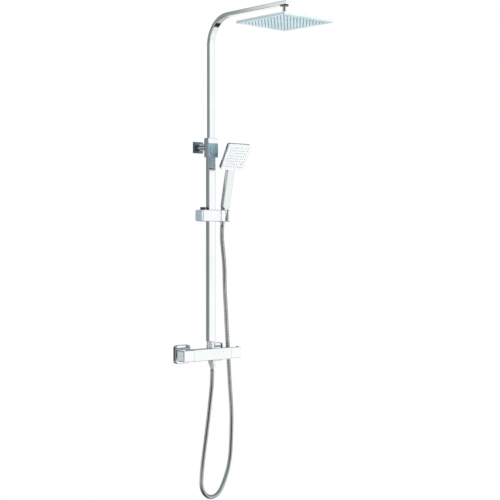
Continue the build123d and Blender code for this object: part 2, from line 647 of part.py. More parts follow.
def bracket_block():
    socket = [size + 2 * FIT_GAP for size in (LOWER_WIDTH, LOWER_DEPTH)]
    chamber = RectangleRounded(*telescope_chamber(), TUBE_CORNER_R)
    mouth = RectangleRounded(*upper_passage(SEAT_GAP), TUBE_CORNER_R)
    block = prism("z", BLOCK_FOOT_Z, BLOCK_TOP_Z, Rectangle(BLOCK_WIDTH, BLOCK_DEPTH), y=RISER_Y)
    block = fillet(block.edges().filter_by(Axis.Z) + block.faces().sort_by(Axis.Z)[-1].edges(), BLOCK_EDGE_R)
    block -= prism("z", BLOCK_FOOT_Z, LOWER_TOP_Z, RectangleRounded(*socket, TUBE_CORNER_R), y=RISER_Y)
    block -= prism("z", LOWER_TOP_Z, BLOCK_TOP_Z - BLOCK_LIP, chamber, y=RISER_Y)
    block -= prism("z", LOWER_TOP_Z, BLOCK_TOP_Z, mouth, y=RISER_Y)
    block -= prism("y", BLOCK_FRONT_Y, RISER_Y, Circle(CLAMP_SCREW_R + RUN_GAP), z=CLAMP_Z)
    spigot = Circle(STEM_R - STEM_WALL + FIT_GAP)
    return block - prism("y", BLOCK_BACK_Y - STEM_SPIGOT - FIT_GAP, BLOCK_BACK_Y, spigot, z=STEM_Z)


def telescope_ring(low, high):
    outer = [size - 2 * RUN_GAP for size in telescope_chamber()]
    return prism("z", low, high, frame_section(outer, upper_passage(SLIDE_GAP), TUBE_CORNER_R), y=RISER_Y)


def telescope_seal():
    top = BLOCK_TOP_Z - BLOCK_LIP - FIT_GAP
    return telescope_ring(top - WIPER_T, top)


def telescope_bush():
    top = BLOCK_TOP_Z - BLOCK_LIP - 2 * FIT_GAP - WIPER_T
    return telescope_ring(top - TELESCOPE_BUSH_LENGTH, top)


def bracket_front_cap():
    plate = RectangleRounded(BLOCK_WIDTH, FRONT_CAP_HEIGHT, BLOCK_EDGE_R)
    cap = prism("y", FRONT_CAP_Y, BLOCK_FRONT_Y, plate, z=CLAMP_Z)
    return cap - prism("y", FRONT_CAP_Y, BLOCK_FRONT_Y, Circle(CLAMP_SCREW_R + RUN_GAP), z=CLAMP_Z)


def clamp_knob():
    front = FRONT_CAP_Y - SEAT_GAP
    tip = RISER_Y - UPPER_DEPTH / 2 - SEAT_GAP
    disc = prism("y", front - CLAMP_T, front, Circle(CLAMP_R), z=CLAMP_Z)
    disc = fillet(disc.faces().sort_by(Axis.Y)[0].edges(), KNOB_EDGE)
    return disc + prism("y", front, tip, Circle(CLAMP_SCREW_R), z=CLAMP_Z)


def bracket_stem():
    front = BLOCK_BACK_Y - STEM_SPIGOT
    stem = prism("y", BLOCK_BACK_Y, -BRACKET_FLANGE_T, Circle(STEM_R), z=STEM_Z)
    stem += prism("y", front, BLOCK_BACK_Y, Circle(STEM_R - STEM_WALL), z=STEM_Z)
    boss_bore = Circle(STEM_R - STEM_WALL)
    stem -= prism("y", -WALL_BOSS_LENGTH - THROUGH, -BRACKET_FLANGE_T, boss_bore, z=STEM_Z)
    return stem - prism("z", STEM_Z - STEM_R, STEM_Z, Circle(GRUB_R + RUN_GAP), y=grub_y())


def grub_y():
    return -(BRACKET_FLANGE_T + WALL_BOSS_LENGTH) / 2


def bracket_flange():
    plate = RectangleRounded(BRACKET_FLANGE_SIDE, BRACKET_FLANGE_SIDE, BLOCK_EDGE_R)
    flange = prism("y", -BRACKET_FLANGE_T, 0, plate, z=STEM_Z)
    return flange - prism("y", -BRACKET_FLANGE_T, 0, Circle(STEM_R - STEM_WALL), z=STEM_Z)


def wall_boss():
    boss = prism("y", -WALL_BOSS_LENGTH, 0, Circle(STEM_R - STEM_WALL - FIT_GAP), z=STEM_Z)
    boss -= prism("y", -WALL_BOSS_LENGTH, 0, Circle(WALL_SCREW_R + FIT_GAP), z=STEM_Z)
    head_seat = Circle(WALL_SCREW_HEAD_R + FIT_GAP)
    return boss - prism("y", -WALL_BOSS_LENGTH, WALL_SCREW_HEAD_T - WALL_BOSS_LENGTH, head_seat, z=STEM_Z)


def wall_screw():
    head_back = WALL_SCREW_HEAD_T - WALL_BOSS_LENGTH
    screw = prism("y", 0, WALL_SCREW_DEPTH, Circle(WALL_SCREW_R), z=STEM_Z)
    screw += prism("y", head_back, 0, Circle(WALL_SCREW_SHANK_R), z=STEM_Z)
    return screw + prism("y", -WALL_BOSS_LENGTH, head_back, Circle(WALL_SCREW_HEAD_R), z=STEM_Z)


def bracket_grub_screw():
    tip = STEM_Z - STEM_R + STEM_WALL
    return prism("z", STEM_Z - STEM_R + SEAT_GAP, tip, Circle(GRUB_R), y=grub_y())


# Overhead head and swivel
def arm_nipple():
    nipple = prism("z", ARM_FLANGE_Z, ARM_UNDER_Z, Circle(ARM_FLANGE_R), y=DROP_Y)
    nipple += prism("z", ARM_UNDER_Z, NIPPLE_CROWN_Z, Circle(ARM_NIPPLE_R), y=DROP_Y)
    return nipple - prism("z", ARM_FLANGE_Z, NIPPLE_CROWN_Z, Circle(SPIGOT_R + RUN_GAP), y=DROP_Y)


def clip_z():
    return NIPPLE_CROWN_Z + SEAT_GAP


def swivel_stud():
    shoulder = ARM_FLANGE_Z - SEAT_GAP
    crown = clip_z() + 2 * CLIP_T
    stud = Pos(0, DROP_Y, BALL_Z) * Sphere(BALL_R)
    stud += prism("z", BALL_Z, shoulder, Circle(NECK_R), y=DROP_Y)
    stud += prism("z", shoulder, crown, Circle(SPIGOT_R), y=DROP_Y)
    stud -= prism("z", clip_z(), clip_z() + CLIP_T, ring(SPIGOT_R + THROUGH, SPIGOT_R - CLIP_GROOVE), y=DROP_Y)
    return stud - prism("z", BALL_Z - BALL_R, crown, Circle(STUD_BORE_R), y=DROP_Y)


def stud_clip():
    inner = SPIGOT_R - CLIP_GROOVE + RUN_GAP
    return prism("z", clip_z(), clip_z() + CLIP_T, ring(inner + CLIP_WIDTH, inner), y=DROP_Y)


def head_outline(inset):
    side = HEAD_SIDE - 2 * inset
    return RectangleRounded(side, side, max(HEAD_CORNER_R - inset, HEAD_CORNER_R / 3))


def head_nozzle_places():
    return GridLocations(HEAD_NOZZLE_PITCH, HEAD_NOZZLE_PITCH, HEAD_NOZZLES, HEAD_NOZZLES)


def head_top_shell():
    ball = Pos(0, DROP_Y, BALL_Z) * Sphere(BALL_R + SEAT_GAP)
    shell = prism("z", HEAD_SHELL_Z, HEAD_TOP_Z, head_outline(0), y=DROP_Y)
    shell += prism("z", HEAD_TOP_Z, BALL_BOSS_TOP, Circle(BALL_BOSS_R), y=DROP_Y)
    shell -= prism("z", HEAD_SHELL_Z, HEAD_TOP_Z - HEAD_SHELL_WALL, head_outline(HEAD_SHELL_WALL), y=DROP_Y)
    shell -= prism("z", HEAD_SHELL_Z, BALL_Z, Circle(SPIGOT_R), y=DROP_Y)
    return shell - ball


def head_face_plate():
    holes = head_nozzle_places() * Circle(HEAD_NOZZLE_R + FIT_GAP)
    return prism("z", HEAD_FACE_Z, HEAD_SHELL_Z, head_outline(0) - holes, y=DROP_Y)


def head_nozzle_mat():
    nozzles = Sketch() + [place * Circle(HEAD_NOZZLE_R) for place in head_nozzle_places()]
    mat = prism("z", HEAD_SHELL_Z, HEAD_SHELL_Z + MAT_T, head_outline(MAT_MARGIN), y=DROP_Y)
    return mat + prism("z", HEAD_FACE_Z - NOZZLE_PROUD, HEAD_SHELL_Z, nozzles, y=DROP_Y)


def ball_nut():
    """A ring nut that traps the ball: threaded below, a lip over the ball, and a mouth that lets the neck tilt."""
    top = BALL_Z + BALL_NUT_TOP
    seat_r = BALL_R + SEAT_GAP
    lip_r = (seat_r**2 - BALL_LIP**2) ** 0.5
    nut = prism("z", HEAD_TOP_Z + SEAT_GAP, top, Circle(BALL_NUT_R), y=DROP_Y)
    bored = BALL_BOSS_TOP + BALL_SEAL_T + FIT_GAP
    nut -= prism("z", HEAD_TOP_Z, bored, Circle(BALL_BOSS_R + RUN_GAP), y=DROP_Y)
    nut -= Pos(0, DROP_Y, BALL_Z) * Sphere(seat_r)
    mouth = Cone(lip_r, BALL_MOUTH_R, BALL_NUT_TOP - BALL_LIP, align=(Align.CENTER, Align.CENTER, Align.MIN))
    return nut - Pos(0, DROP_Y, BALL_Z + BALL_LIP) * mouth


def ball_seal():
    section = ring(BALL_BOSS_R - FIT_GAP, BALL_R + SEAT_GAP)
    return prism("z", BALL_BOSS_TOP, BALL_BOSS_TOP + BALL_SEAL_T, section, y=DROP_Y)


# Slider and holder
def slider_section(inset=0.0):
    return RectangleRounded(SLIDER_DEPTH - 2 * inset, SLIDER_HEIGHT - 2 * inset, SLIDER_CORNER_R)


def slider_bush_size(gap):
    return [size + 2 * (SLIDE_GAP + SLIDER_BUSH_WALL + gap) for size in (LOWER_WIDTH, LOWER_DEPTH)]


def slider_body():
    body = prism("x", SLIDER_LEFT, SLIDER_RIGHT, slider_section(), y=RISER_Y, z=SLIDER_Z)
    body += prism("x", SLIDER_RIGHT, SLIDER_RIGHT + PIVOT_BOSS_T, Circle(PIVOT_BOSS_R), y=RISER_Y, z=SLIDER_Z)
    body -= prism("z", SLIDER_FOOT, SLIDER_TOP, RectangleRounded(*slider_bush_size(RUN_GAP), TUBE_CORNER_R), y=RISER_Y)
    recess = RectangleRounded(TAB_LENGTH + 2 * SLIDE_GAP, TAB_DEPTH + 2 * SLIDE_GAP, TAB_CORNER_R)
    recess_floor = SLIDER_TOP - TAB_SINK - TAB_TRAVEL - SEAT_GAP
    body -= prism("z", recess_floor, SLIDER_TOP, recess, x=TAB_X, y=TAB_Y)
    bolt_tip = SLIDER_RIGHT - PIVOT_GRIP
    return body - prism("x", bolt_tip, HOLDER_LEFT, Circle(PIVOT_R + RUN_GAP), y=RISER_Y, z=SLIDER_Z)


def slider_end_cap():
    section = slider_section(SLIDER_CAP_INSET)
    return prism("x", SLIDER_LEFT - SLIDER_CAP_LENGTH, SLIDER_LEFT, section, y=RISER_Y, z=SLIDER_Z)


def slider_bush():
    passage = [size + 2 * SLIDE_GAP for size in (LOWER_WIDTH, LOWER_DEPTH)]
    return prism("z", SLIDER_FOOT, SLIDER_TOP, frame_section(slider_bush_size(0), passage, TUBE_CORNER_R), y=RISER_Y)


def release_tab():
    tab = RectangleRounded(TAB_LENGTH, TAB_DEPTH, TAB_CORNER_R)
    return prism("z", SLIDER_TOP - TAB_SINK, SLIDER_TOP + TAB_RISE, tab, x=TAB_X, y=TAB_Y)


def holder_pivot_bolt():
    head_x = HOLDER_LEFT + PIVOT_SEAT_T + SEAT_GAP
    place = {"y": RISER_Y, "z": SLIDER_Z}
    bolt = prism("x", SLIDER_RIGHT - PIVOT_GRIP, head_x, Circle(PIVOT_R), **place)
    return bolt + prism("x", head_x, head_x + PIVOT_HEAD_T, Circle(PIVOT_HEAD_R), **place)


def cone(gap, low, high):
    """The cone of the hose nut between two places on its axis, with a gap all round."""
    slope = (CONE_TOP_R - CONE_FOOT_R) / (CONE_ABOVE + CONE_BELOW)
    foot, top = (CONE_FOOT_R + slope * (place + CONE_BELOW) + gap for place in (low, high))
    return HANDSET * (Pos(0, 0, low) * Cone(foot, top, high - low, align=(Align.CENTER, Align.CENTER, Align.MIN)))


def handset_holder():
    place = {"y": RISER_Y, "z": SLIDER_Z}
    holder = prism("x", HOLDER_LEFT, HOLDER_LEFT + HOLDER_WIDTH, slider_section(), **place)
    reach = SLIDER_HEIGHT
    holder -= cone(SEAT_GAP, -reach, reach)
    slot = Pos(0, -SLIDER_DEPTH / 2, 0) * Rectangle(HOLDER_SLOT, SLIDER_DEPTH)
    holder -= on_handset(-reach, reach, slot)
    holder -= prism("x", HOLDER_LEFT, HOLDER_X, Circle(PIVOT_R + RUN_GAP), **place)
    return holder - prism("x", HOLDER_LEFT + PIVOT_SEAT_T, HOLDER_X, Circle(PIVOT_HEAD_R + SEAT_GAP), **place)


# Handset
def handset_shell():
    """Handle and back of the head in one shell, with the threaded inlet at its foot."""
    section = handle_section(0)
    taper_top = CONE_ABOVE + HANDLE_TAPER
    cavity_back = HANDSET_HEAD_WALL - HANDSET_HEAD_THICK
    shell = on_handset(taper_top, HANDLE_TOP, section)
    foot = HANDSET * (Pos(0, 0, CONE_ABOVE) * Circle(CONE_TOP_R - HANDLE_CORNER_R / 2))
    shell += loft([foot, HANDSET * (Pos(0, 0, taper_top) * section)])
    shell += handset_back()
    # the part of the handle that would stand in front of the head's seat is cut off
    shell -= on_handset_face(-HANDSET_FACE_T, HANDSET_HEAD_THICK, handset_outline())
    shell += on_handset(CONE_ABOVE - CONE_THREAD, CONE_ABOVE, Circle(G_HALF_R))
    shell -= on_handset_face(cavity_back, -HANDSET_FACE_T, handset_head_inside(HANDSET_HEAD_WALL))
    shell -= on_handset(CONE_ABOVE - CONE_THREAD, taper_top, Circle(HANDLE_THICK / 2 - HANDLE_FORWARD - HANDLE_WALL))
    return shell - on_handset(taper_top - HANDLE_WALL, HANDLE_TOP - HANDLE_WALL, handle_section(HANDLE_WALL))


def handle_section(inset):
    """The handle across its axis, drawn in by an inset."""
    size = [length - 2 * inset for length in (HANDLE_WIDTH, HANDLE_THICK)]
    return Pos(0, -HANDLE_FORWARD) * RectangleRounded(*size, HANDLE_CORNER_R / (2 if inset else 1))


def handset_outline():
    return RectangleRounded(HANDSET_HEAD_WIDTH, HANDSET_HEAD_LENGTH, HANDSET_HEAD_CORNER_R)


def handset_back():
    """The back of the head: a straight rim, and behind it a shallow dish with draft and a rounded edge."""
    rim = extrude(handset_outline(), HANDSET_FRAME_T - HANDSET_FACE_T)
    dish = Rot(180, 0, 0) * extrude(handset_outline(), HANDSET_HEAD_THICK - HANDSET_FRAME_T, taper=HANDSET_HEAD_DRAFT)
    dish = fillet(dish.faces().sort_by(Axis.Z)[0].edges(), HANDSET_HEAD_BACK_R)
    return HANDSET_HEAD * (Pos(0, 0, -HANDSET_FRAME_T) * (rim + dish))


def handset_head_inside(inset):
    corner = HANDSET_HEAD_CORNER_R - HANDSET_HEAD_WALL
    return RectangleRounded(HANDSET_HEAD_WIDTH - 2 * inset, HANDSET_HEAD_LENGTH - 2 * inset, corner)


def handset_nozzle_places():
    return GridLocations(HANDSET_COLUMN_PITCH, HANDSET_ROW_PITCH, HANDSET_COLUMNS, HANDSET_ROWS)


def handset_face():
    holes = handset_nozzle_places() * Circle(HANDSET_NOZZLE_R + FIT_GAP)
    return on_handset_face(-HANDSET_FACE_T, 0, handset_outline() - holes)


def handset_nozzle_mat():
    nozzles = Sketch() + [place * Circle(HANDSET_NOZZLE_R) for place in handset_nozzle_places()]
    mat = on_handset_face(-HANDSET_FACE_T - MAT_T, -HANDSET_FACE_T, handset_head_inside(MAT_MARGIN))
    return mat + on_handset_face(-HANDSET_FACE_T, HANDSET_NOZZLE_PROUD, nozzles)


def hose_cone_nut():
    nut = cone(0, -CONE_BELOW, CONE_ABOVE)
    nut -= on_handset(CONE_ABOVE - CONE_THREAD - OUTLET_WASHER_T, CONE_ABOVE, Circle(G_HALF_R + RUN_GAP))
    return nut - on_handset(-CONE_BELOW, CONE_ABOVE, Circle(HOSE_BORE_R))


# Hose
def hose_nut():
    start = BODY_TOP + NIPPLE_FLANGE_T + FIT_GAP
    skirt_r = HOSE_NUT_FLATS / 2
    hexagon = RegularPolygon(skirt_r, 6, major_radius=False)
    place = {"x": HOSE_X, "y": BAR_Y}
    nut = prism("z", -HOSE_NUT_FLOOR, -start, hexagon, **place)
    skirt = Cone(HOSE_NUT_FOOT_R, skirt_r, HOSE_NUT_SKIRT, align=(Align.CENTER, Align.CENTER, Align.MIN))
    nut += Pos(HOSE_X, BAR_Y, -HOSE_NUT_END) * skirt
    nut -= prism("z", -HOSE_NUT_FLOOR, -start, Circle(G_HALF_R + RUN_GAP), **place)
    return nut - prism("z", -HOSE_NUT_END, -start, Circle(HOSE_BORE_R), **place)


def hose_points():
    """The whole route, from the foot of the cone nut to the nut under the bar."""
    down = -HANDSET.z_dir
    first = HANDSET.origin + down * CONE_BELOW
    last = Vector(HOSE_X, BAR_Y, -HOSE_NUT_END)
    before_last = last - Vector(0, 0, HOSE_LAST_RUN)
    return [first, first + down * HOSE_FIRST_RUN, *map(Vector, HOSE_ROUTE), before_last, last]


def hose_lengths():
    """The route parted in the middles of two straight runs, so that each length starts and ends straight."""
    points = hose_points()
    lengths, start = [], []
    for number, point in enumerate(points):
        start.append(point)
        if number in HOSE_SPLITS:
            middle = (point + points[number + 1]) * 0.5
            lengths.append(start + [middle])
            start = [middle]
    return [*lengths, start]


def route_path(name, points):
    """Straight runs joined by tangent arcs, each as large as its two runs allow."""
    radii = []
    for before, corner, after in zip(points, points[1:], points[2:]):
        runs = corner - before, after - corner
        turn = radians(runs[0].get_angle(runs[1]))
        radii.append(0.45 * min(run.length for run in runs) / tan(turn / 2))
    print(name, "radii", [round(radius) for radius in radii])
    return FilletPolyline(*points, radius=radii)


def hose(name, points):
    """A ribbed tube along a route, plain for one diameter at each end."""
    path = route_path(name, points)
    plain = 2 * HOSE_R
    ribs = round((path.length - 2 * plain) / HOSE_RIB_PITCH)
    pitch = (path.length - 2 * plain) / ribs
    stations = [(0, HOSE_GROOVE_R)]
    for rib in range(ribs):
        at = plain + rib * pitch
        profile = ((0, HOSE_GROOVE_R), (0.2, HOSE_R), (0.6, HOSE_R), (0.8, HOSE_GROOVE_R))
        stations += [(at + share * pitch, radius) for share, radius in profile]
    stations.append((path.length, HOSE_GROOVE_R))
    sections = []
    for distance, radius in stations:
        share = distance / path.length
        # Y stays square to the loop, so every circle starts at the same side
        plane = Plane(origin=path @ share, x_dir=(0, 1, 0), z_dir=path % share)
        sections.append(plane * Circle(radius))
    tube = loft(sections, ruled=True)
    start = Plane(origin=path @ 0, x_dir=(0, 1, 0), z_dir=path % 0)
    made = tube - sweep(start * Circle(HOSE_BORE_R), path=path)
    expected = -pi * HOSE_BORE_R**2 * path.length
    for (low, low_r), (high, high_r) in zip(stations, stations[1:]):
        expected += pi / 3 * (high - low) * (low_r**2 + low_r * high_r + high_r**2)
    print(name, f"{ribs} ribs, {path.length:.0f} mm long, volume {made.volume / expected:.3f} of section times length")
    return made


os.makedirs("parts", exist_ok=True)
both_sides = (LEFT, RIGHT)
save("inlet_unions", *map(inlet_union, both_sides))
save("union_nuts", *map(union_nut, both_sides))
save("inlet_washers", *map(inlet_washer, both_sides))
save("check_valves", *map(check_valve, both_sides))
save("wall_rosettes", *map(wall_rosette, both_sides))
save("valve_body", valve_body())
save("thermostatic_cartridge", cartridge(THERMOSTAT, THERMOSTAT_END, (INLET_X, FAR_PORT_X)))
save("diverter_cartridge", cartridge(DIVERTER, DIVERTER_END, (CHANNEL_REACH - CHANNEL_R,)))
save("cartridge_seals", *cartridge_seals())
save("cartridge_nuts", *map(cartridge_nut, both_sides))
save("temperature_spindle", knob_spindle(THERMOSTAT))
save("temperature_knob", temperature_knob())
save("temperature_knob_screw", knob_screw(THERMOSTAT))
save("temperature_knob_cap", knob_cap(THERMOSTAT))
save("stop_button", stop_button())
save("flow_spindle", knob_spindle(DIVERTER))
save("flow_knob", knob(DIVERTER))
save("flow_knob_screw", knob_screw(DIVERTER))
save("flow_knob_cap", knob_cap(DIVERTER))
save("outlet_nipples", outlet_nipple(1, 0, RISER_Y), outlet_nipple(-1, HOSE_X, BAR_Y))
save("outlet_washers", *outlet_washers())
save("riser_union_nut", riser_union_nut())
save("riser_adaptor", riser_adaptor())
save("lower_tube", lower_tube())
save("upper_tube", upper_tube())
save("arm_end_cap", arm_end_cap())
save("piston_carrier", piston_carrier())
save("piston_seals", *piston_seals())
save("bracket_block", bracket_block())
save("telescope_seal", telescope_seal())
save("telescope_bush", telescope_bush())
save("bracket_front_cap", bracket_front_cap())
save("clamp_knob", clamp_knob())
save("bracket_stem", bracket_stem())
save("bracket_flange", bracket_flange())
save("wall_boss", wall_boss())
save("wall_screw", wall_screw())
save("bracket_grub_screw", bracket_grub_screw())
save("arm_nipple", arm_nipple())
save("swivel_stud", swivel_stud())
save("stud_clip", stud_clip())
save("head_top_shell", head_top_shell())
save("head_face_plate", head_face_plate())
save("head_nozzle_mat", head_nozzle_mat())
save("ball_nut", ball_nut())
save("ball_seal", ball_seal())
save("slider_body", slider_body())
save("slider_end_cap", slider_end_cap())
save("slider_bush", slider_bush())
save("release_tab", release_tab())
save("holder_pivot_bolt", holder_pivot_bolt())
save("handset_holder", handset_holder())
save("handset_shell", handset_shell())
save("handset_face", handset_face())
save("handset_nozzle_mat", handset_nozzle_mat())
save("hose_cone_nut", hose_cone_nut())
save("hose_nut", hose_nut())
for name, points in zip(("hose_top", "hose_middle", "hose_main"), hose_lengths()):
    save(name, hose(name, points))
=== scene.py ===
import math

import bpy
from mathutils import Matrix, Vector


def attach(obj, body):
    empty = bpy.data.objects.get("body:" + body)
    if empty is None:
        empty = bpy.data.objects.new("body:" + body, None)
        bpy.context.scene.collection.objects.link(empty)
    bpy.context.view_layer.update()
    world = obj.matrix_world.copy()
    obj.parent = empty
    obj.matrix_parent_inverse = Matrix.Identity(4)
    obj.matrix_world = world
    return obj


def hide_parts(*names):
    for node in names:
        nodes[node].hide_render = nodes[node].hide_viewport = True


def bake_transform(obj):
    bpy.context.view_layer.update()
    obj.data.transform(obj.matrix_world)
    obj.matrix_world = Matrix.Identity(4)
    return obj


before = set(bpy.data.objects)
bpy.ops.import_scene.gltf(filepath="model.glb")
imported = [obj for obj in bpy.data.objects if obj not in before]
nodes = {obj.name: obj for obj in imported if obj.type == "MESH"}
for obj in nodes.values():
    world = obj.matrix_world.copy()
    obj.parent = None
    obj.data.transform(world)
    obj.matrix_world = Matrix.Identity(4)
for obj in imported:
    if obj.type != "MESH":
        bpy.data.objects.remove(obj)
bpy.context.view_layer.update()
scene = bpy.context.scene
scene.view_settings.view_transform = "Standard"

# Camera
# The photograph is square. It was taken from the front left with a long lens, level with the lower
# part of the riser. Place, turn and lens are a fit to the object's edges; angles are in degrees.
PHOTO_WIDTH = 500
FOCAL_PIXELS = 1222.1
SENSOR = 36.0
CAMERA_PLACE = (-2.76012, -3.23999, 0.37867)
CAMERA_DOWN = 0.2806
CAMERA_RIGHT = 42.904
FAR_CLIP = 60
camera_data = bpy.data.cameras.new("photo_camera")
camera_data.sensor_width = SENSOR
camera_data.lens = SENSOR * FOCAL_PIXELS / PHOTO_WIDTH
camera_data.clip_end = FAR_CLIP
camera = bpy.data.objects.new("photo_camera", camera_data)
camera.location = CAMERA_PLACE
camera.rotation_euler = (math.radians(90 - CAMERA_DOWN), 0, math.radians(-CAMERA_RIGHT))
scene.collection.objects.link(camera)
scene.camera = camera


# Studio
# A white room with soft lamps and a few grey and black flags, which give the chrome its dark lines,
# and a pale floor a metre below the mixer that fades out before it reaches the photograph's frame.
def node(tree, kind, sockets=None, **settings):
    """A shader node with its settings and the values of its own sockets."""
    made = tree.nodes.new(kind)
    for name, value in settings.items():
        setattr(made, name, value)
    for name, value in (sockets or {}).items():
        made.inputs[name].default_value = value
    return made


def ramp(tree, stops):
    """A colour ramp from (place, grey or colour) pairs."""
    made = node(tree, "ShaderNodeValToRGB")
    elements = made.color_ramp.elements
    while len(elements) < len(stops):
        elements.new(1.0)
    for element, (place, colour) in zip(elements, stops):
        element.position = place
        element.color = (*colour, 1) if isinstance(colour, tuple) else (colour, colour, colour, 1)
    return made


world = bpy.data.worlds.new("studio")
world.use_nodes = True
scene.world = world
room = world.node_tree
room.nodes.clear()
direction = node(room, "ShaderNodeTexCoord")
axes = node(room, "ShaderNodeSeparateXYZ")
room.links.new(direction.outputs["Generated"], axes.inputs[0])
compass = node(room, "ShaderNodeMath", operation="ARCTAN2")
room.links.new(axes.outputs["X"], compass.inputs[0])
room.links.new(axes.outputs["Y"], compass.inputs[1])
turn = node(room, "ShaderNodeMapRange", {"From Min": -math.pi, "From Max": math.pi})
room.links.new(compass.outputs[0], turn.inputs["Value"])
height = node(room, "ShaderNodeMapRange", {"From Min": -1.0, "From Max": 1.0})
room.links.new(axes.outputs["Z"], height.inputs["Value"])


def round_the_room(*stops):
    """Light by the compass, from (degrees from +Y towards +X, grey or colour) pairs."""
    made = ramp(room, [((angle + 180) / 360, colour) for angle, colour in stops])
    room.links.new(turn.outputs[0], made.inputs[0])
    return made.outputs[0]


def up_the_room(*stops):
    """Light by height, from 0 straight down past 0.5 at eye level to 1 straight up."""
    made = ramp(room, stops)
    room.links.new(height.outputs[0], made.inputs[0])
    return made.outputs[0]


def mixed(share, first, second):
    """Two lights of the room, the second one where the share is white."""
    made = node(room, "ShaderNodeMix", data_type="RGBA")
    room.links.new(share, made.inputs["Factor"])
    room.links.new(first, made.inputs["A"])
    room.links.new(second, made.inputs["B"])
    return made.outputs["Result"]


# At eye level
walls = round_the_room(
    (-180, 0.03),
    (-94, 0.02),
    (-84, 0.45),
    (-73, 1.0),
    (-46, 0.98),
    (-43.2, 0.8),
    (-42.1, (0.26, 0.3, 0.3)),
    (-40.9, (0.23, 0.27, 0.28)),
    (-40.2, (0.14, 0.18, 0.2)),
    (-39.5, (0.05, 0.08, 0.1)),
    (-36, 0.03),
    (-6, 0.03),
    (4, 0.3),
    (14, 0.06),
    (37, 0.05),
    (39, 0.3),
    (41, 0.35),
    (42, 0.9),
    (44.5, 0.9),
    (46.5, 0.12),
    (60, 0.05),
    (104, 0.04),
    (120, 0.3),
    (129, 1.12),
    (165, 1.12),
    (175, 0.2),
    (180, 0.03),
)
# The ceiling, and a white strip under the walls
above_below = up_the_room(
    (0.0, 1.0),
    (0.43, 1.0),
    (0.62, 0.75),
    (0.7, (0.42, 0.52, 0.56)),
    (0.8, (0.36, 0.5, 0.55)),
    (0.92, 0.25),
    (1.0, 0.3),
)
off_level = up_the_room((0.0, 1.0), (0.42, 1.0), (0.45, 0.0), (0.7, 0.0), (0.78, 1.0), (1.0, 1.0))
upper_room = mixed(off_level, walls, above_below)
# Below the strip, and nearer to the floor
low_walls = round_the_room(
    (-180, 0.42),
    (-155, 0.6),
    (-143, 0.13),
    (-114, 0.13),
    (-90, 0.5),
    (-70, 0.6),
    (-45, 0.12),
    (-20, 0.25),
    (0, 0.5),
    (40, 0.55),
    (72, 0.5),
    (90, 0.4),
    (112, 0.45),
    (122, 1.05),
    (146, 1.05),
    (160, 0.6),
    (180, 0.42),
)
deep_walls = round_the_room(
    (-180, 0.03),
    (-150, 0.03),
    (-144, 0.35),
    (-108, 0.35),
    (-98, 0.03),
    (-60, 0.03),
    (-30, 0.1),
    (40, 0.55),
    (78, 0.62),
    (86, 0.03),
    (106, 0.03),
    (113, 0.95),
    (143, 0.95),
    (152, 0.08),
    (180, 0.03),
)
deep = up_the_room((0.0, 1.0), (0.22, 1.0), (0.25, 0.0), (1.0, 0.0))
lower_room = mixed(deep, low_walls, deep_walls)
below = up_the_room((0.0, 1.0), (0.37, 1.0), (0.395, 0.0), (1.0, 0.0))
whole_room = mixed(below, upper_room, lower_room)
# A black patch straight below
pit = up_the_room((0.0, 0.03), (0.09, 0.03), (0.115, 1.0), (1.0, 1.0))
dark_foot = node(
    room, "ShaderNodeMix", {"Factor": 1.0}, data_type="RGBA", blend_type="MULTIPLY"
)
room.links.new(whole_room, dark_foot.inputs["A"])
room.links.new(pit, dark_foot.inputs["B"])
# The camera itself sees plain white
light_path = node(room, "ShaderNodeLightPath")
seen = node(room, "ShaderNodeMix", {"B": (1, 1, 1, 1)}, data_type="RGBA")
room.links.new(light_path.outputs["Is Camera Ray"], seen.inputs["Factor"])
room.links.new(dark_foot.outputs["Result"], seen.inputs["A"])
sky = node(room, "ShaderNodeBackground", {"Strength": 1.0})
room.links.new(seen.outputs["Result"], sky.inputs["Color"])
sky_out = node(room, "ShaderNodeOutputWorld")
room.links.new(sky.outputs[0], sky_out.inputs["Surface"])

for name, place, aim, size, watts in (
    ("key_lamp", (2.6, -3.4, 2.2), (0, -0.2, 0.4), 2.4, 60),
    ("low_lamp", (0.4, -3.6, -0.4), (0, -0.2, 0.6), 1.6, 40),
    ("fill_lamp", (-3.2, -0.8, 1.2), (0, -0.2, 0.4), 2.0, 30),
    ("back_lamp", (0.6, 2.8, 2.4), (0, -0.2, 0.4), 2.0, 30),
    ("top_lamp", (0, -0.4, 4.0), (0, -0.4, 0.0), 4.0, 120),
):
    lamp_data = bpy.data.lights.new(name, "AREA")
    lamp_data.size = size
    lamp_data.energy = watts
    lamp = bpy.data.objects.new(name, lamp_data)
    lamp.visible_glossy = False
    lamp.location = place
    lamp.rotation_euler = (Vector(aim) - Vector(place)).to_track_quat("-Z", "Y").to_euler()
    scene.collection.objects.link(lamp)

FLOOR_MIDDLE = (0, -0.2)
FLOOR_HEIGHT = -1.05
FLOOR_RADIUS = 2.3
FLOOR_SIDES = 96
FADE_FROM = 0.9
FADE_TO = FLOOR_RADIUS - 0.1
FLOOR_DARK = 0.84
FLOOR_PALE = 0.86
bpy.ops.object.select_all(action="DESELECT")
bpy.ops.mesh.primitive_circle_add(
    vertices=FLOOR_SIDES,
    radius=FLOOR_RADIUS,
    fill_type="NGON",
    location=(*FLOOR_MIDDLE, FLOOR_HEIGHT),
)
floor = bpy.context.object
floor.name = "floor"
floor.visible_glossy = False
floor_paint = bpy.data.materials.new("floor_paint")
floor_paint.use_nodes = True
tree = floor_paint.node_tree
tree.nodes.clear()
floor_place = node(tree, "ShaderNodeTexCoord")
from_middle = node(tree, "ShaderNodeVectorMath", operation="LENGTH")
tree.links.new(floor_place.outputs["Object"], from_middle.inputs[0])
fade = node(
    tree,
    "ShaderNodeMapRange",
    {"From Min": FADE_FROM, "From Max": FADE_TO},
    interpolation_type="SMOOTHSTEP",
)
tree.links.new(from_middle.outputs["Value"], fade.inputs["Value"])
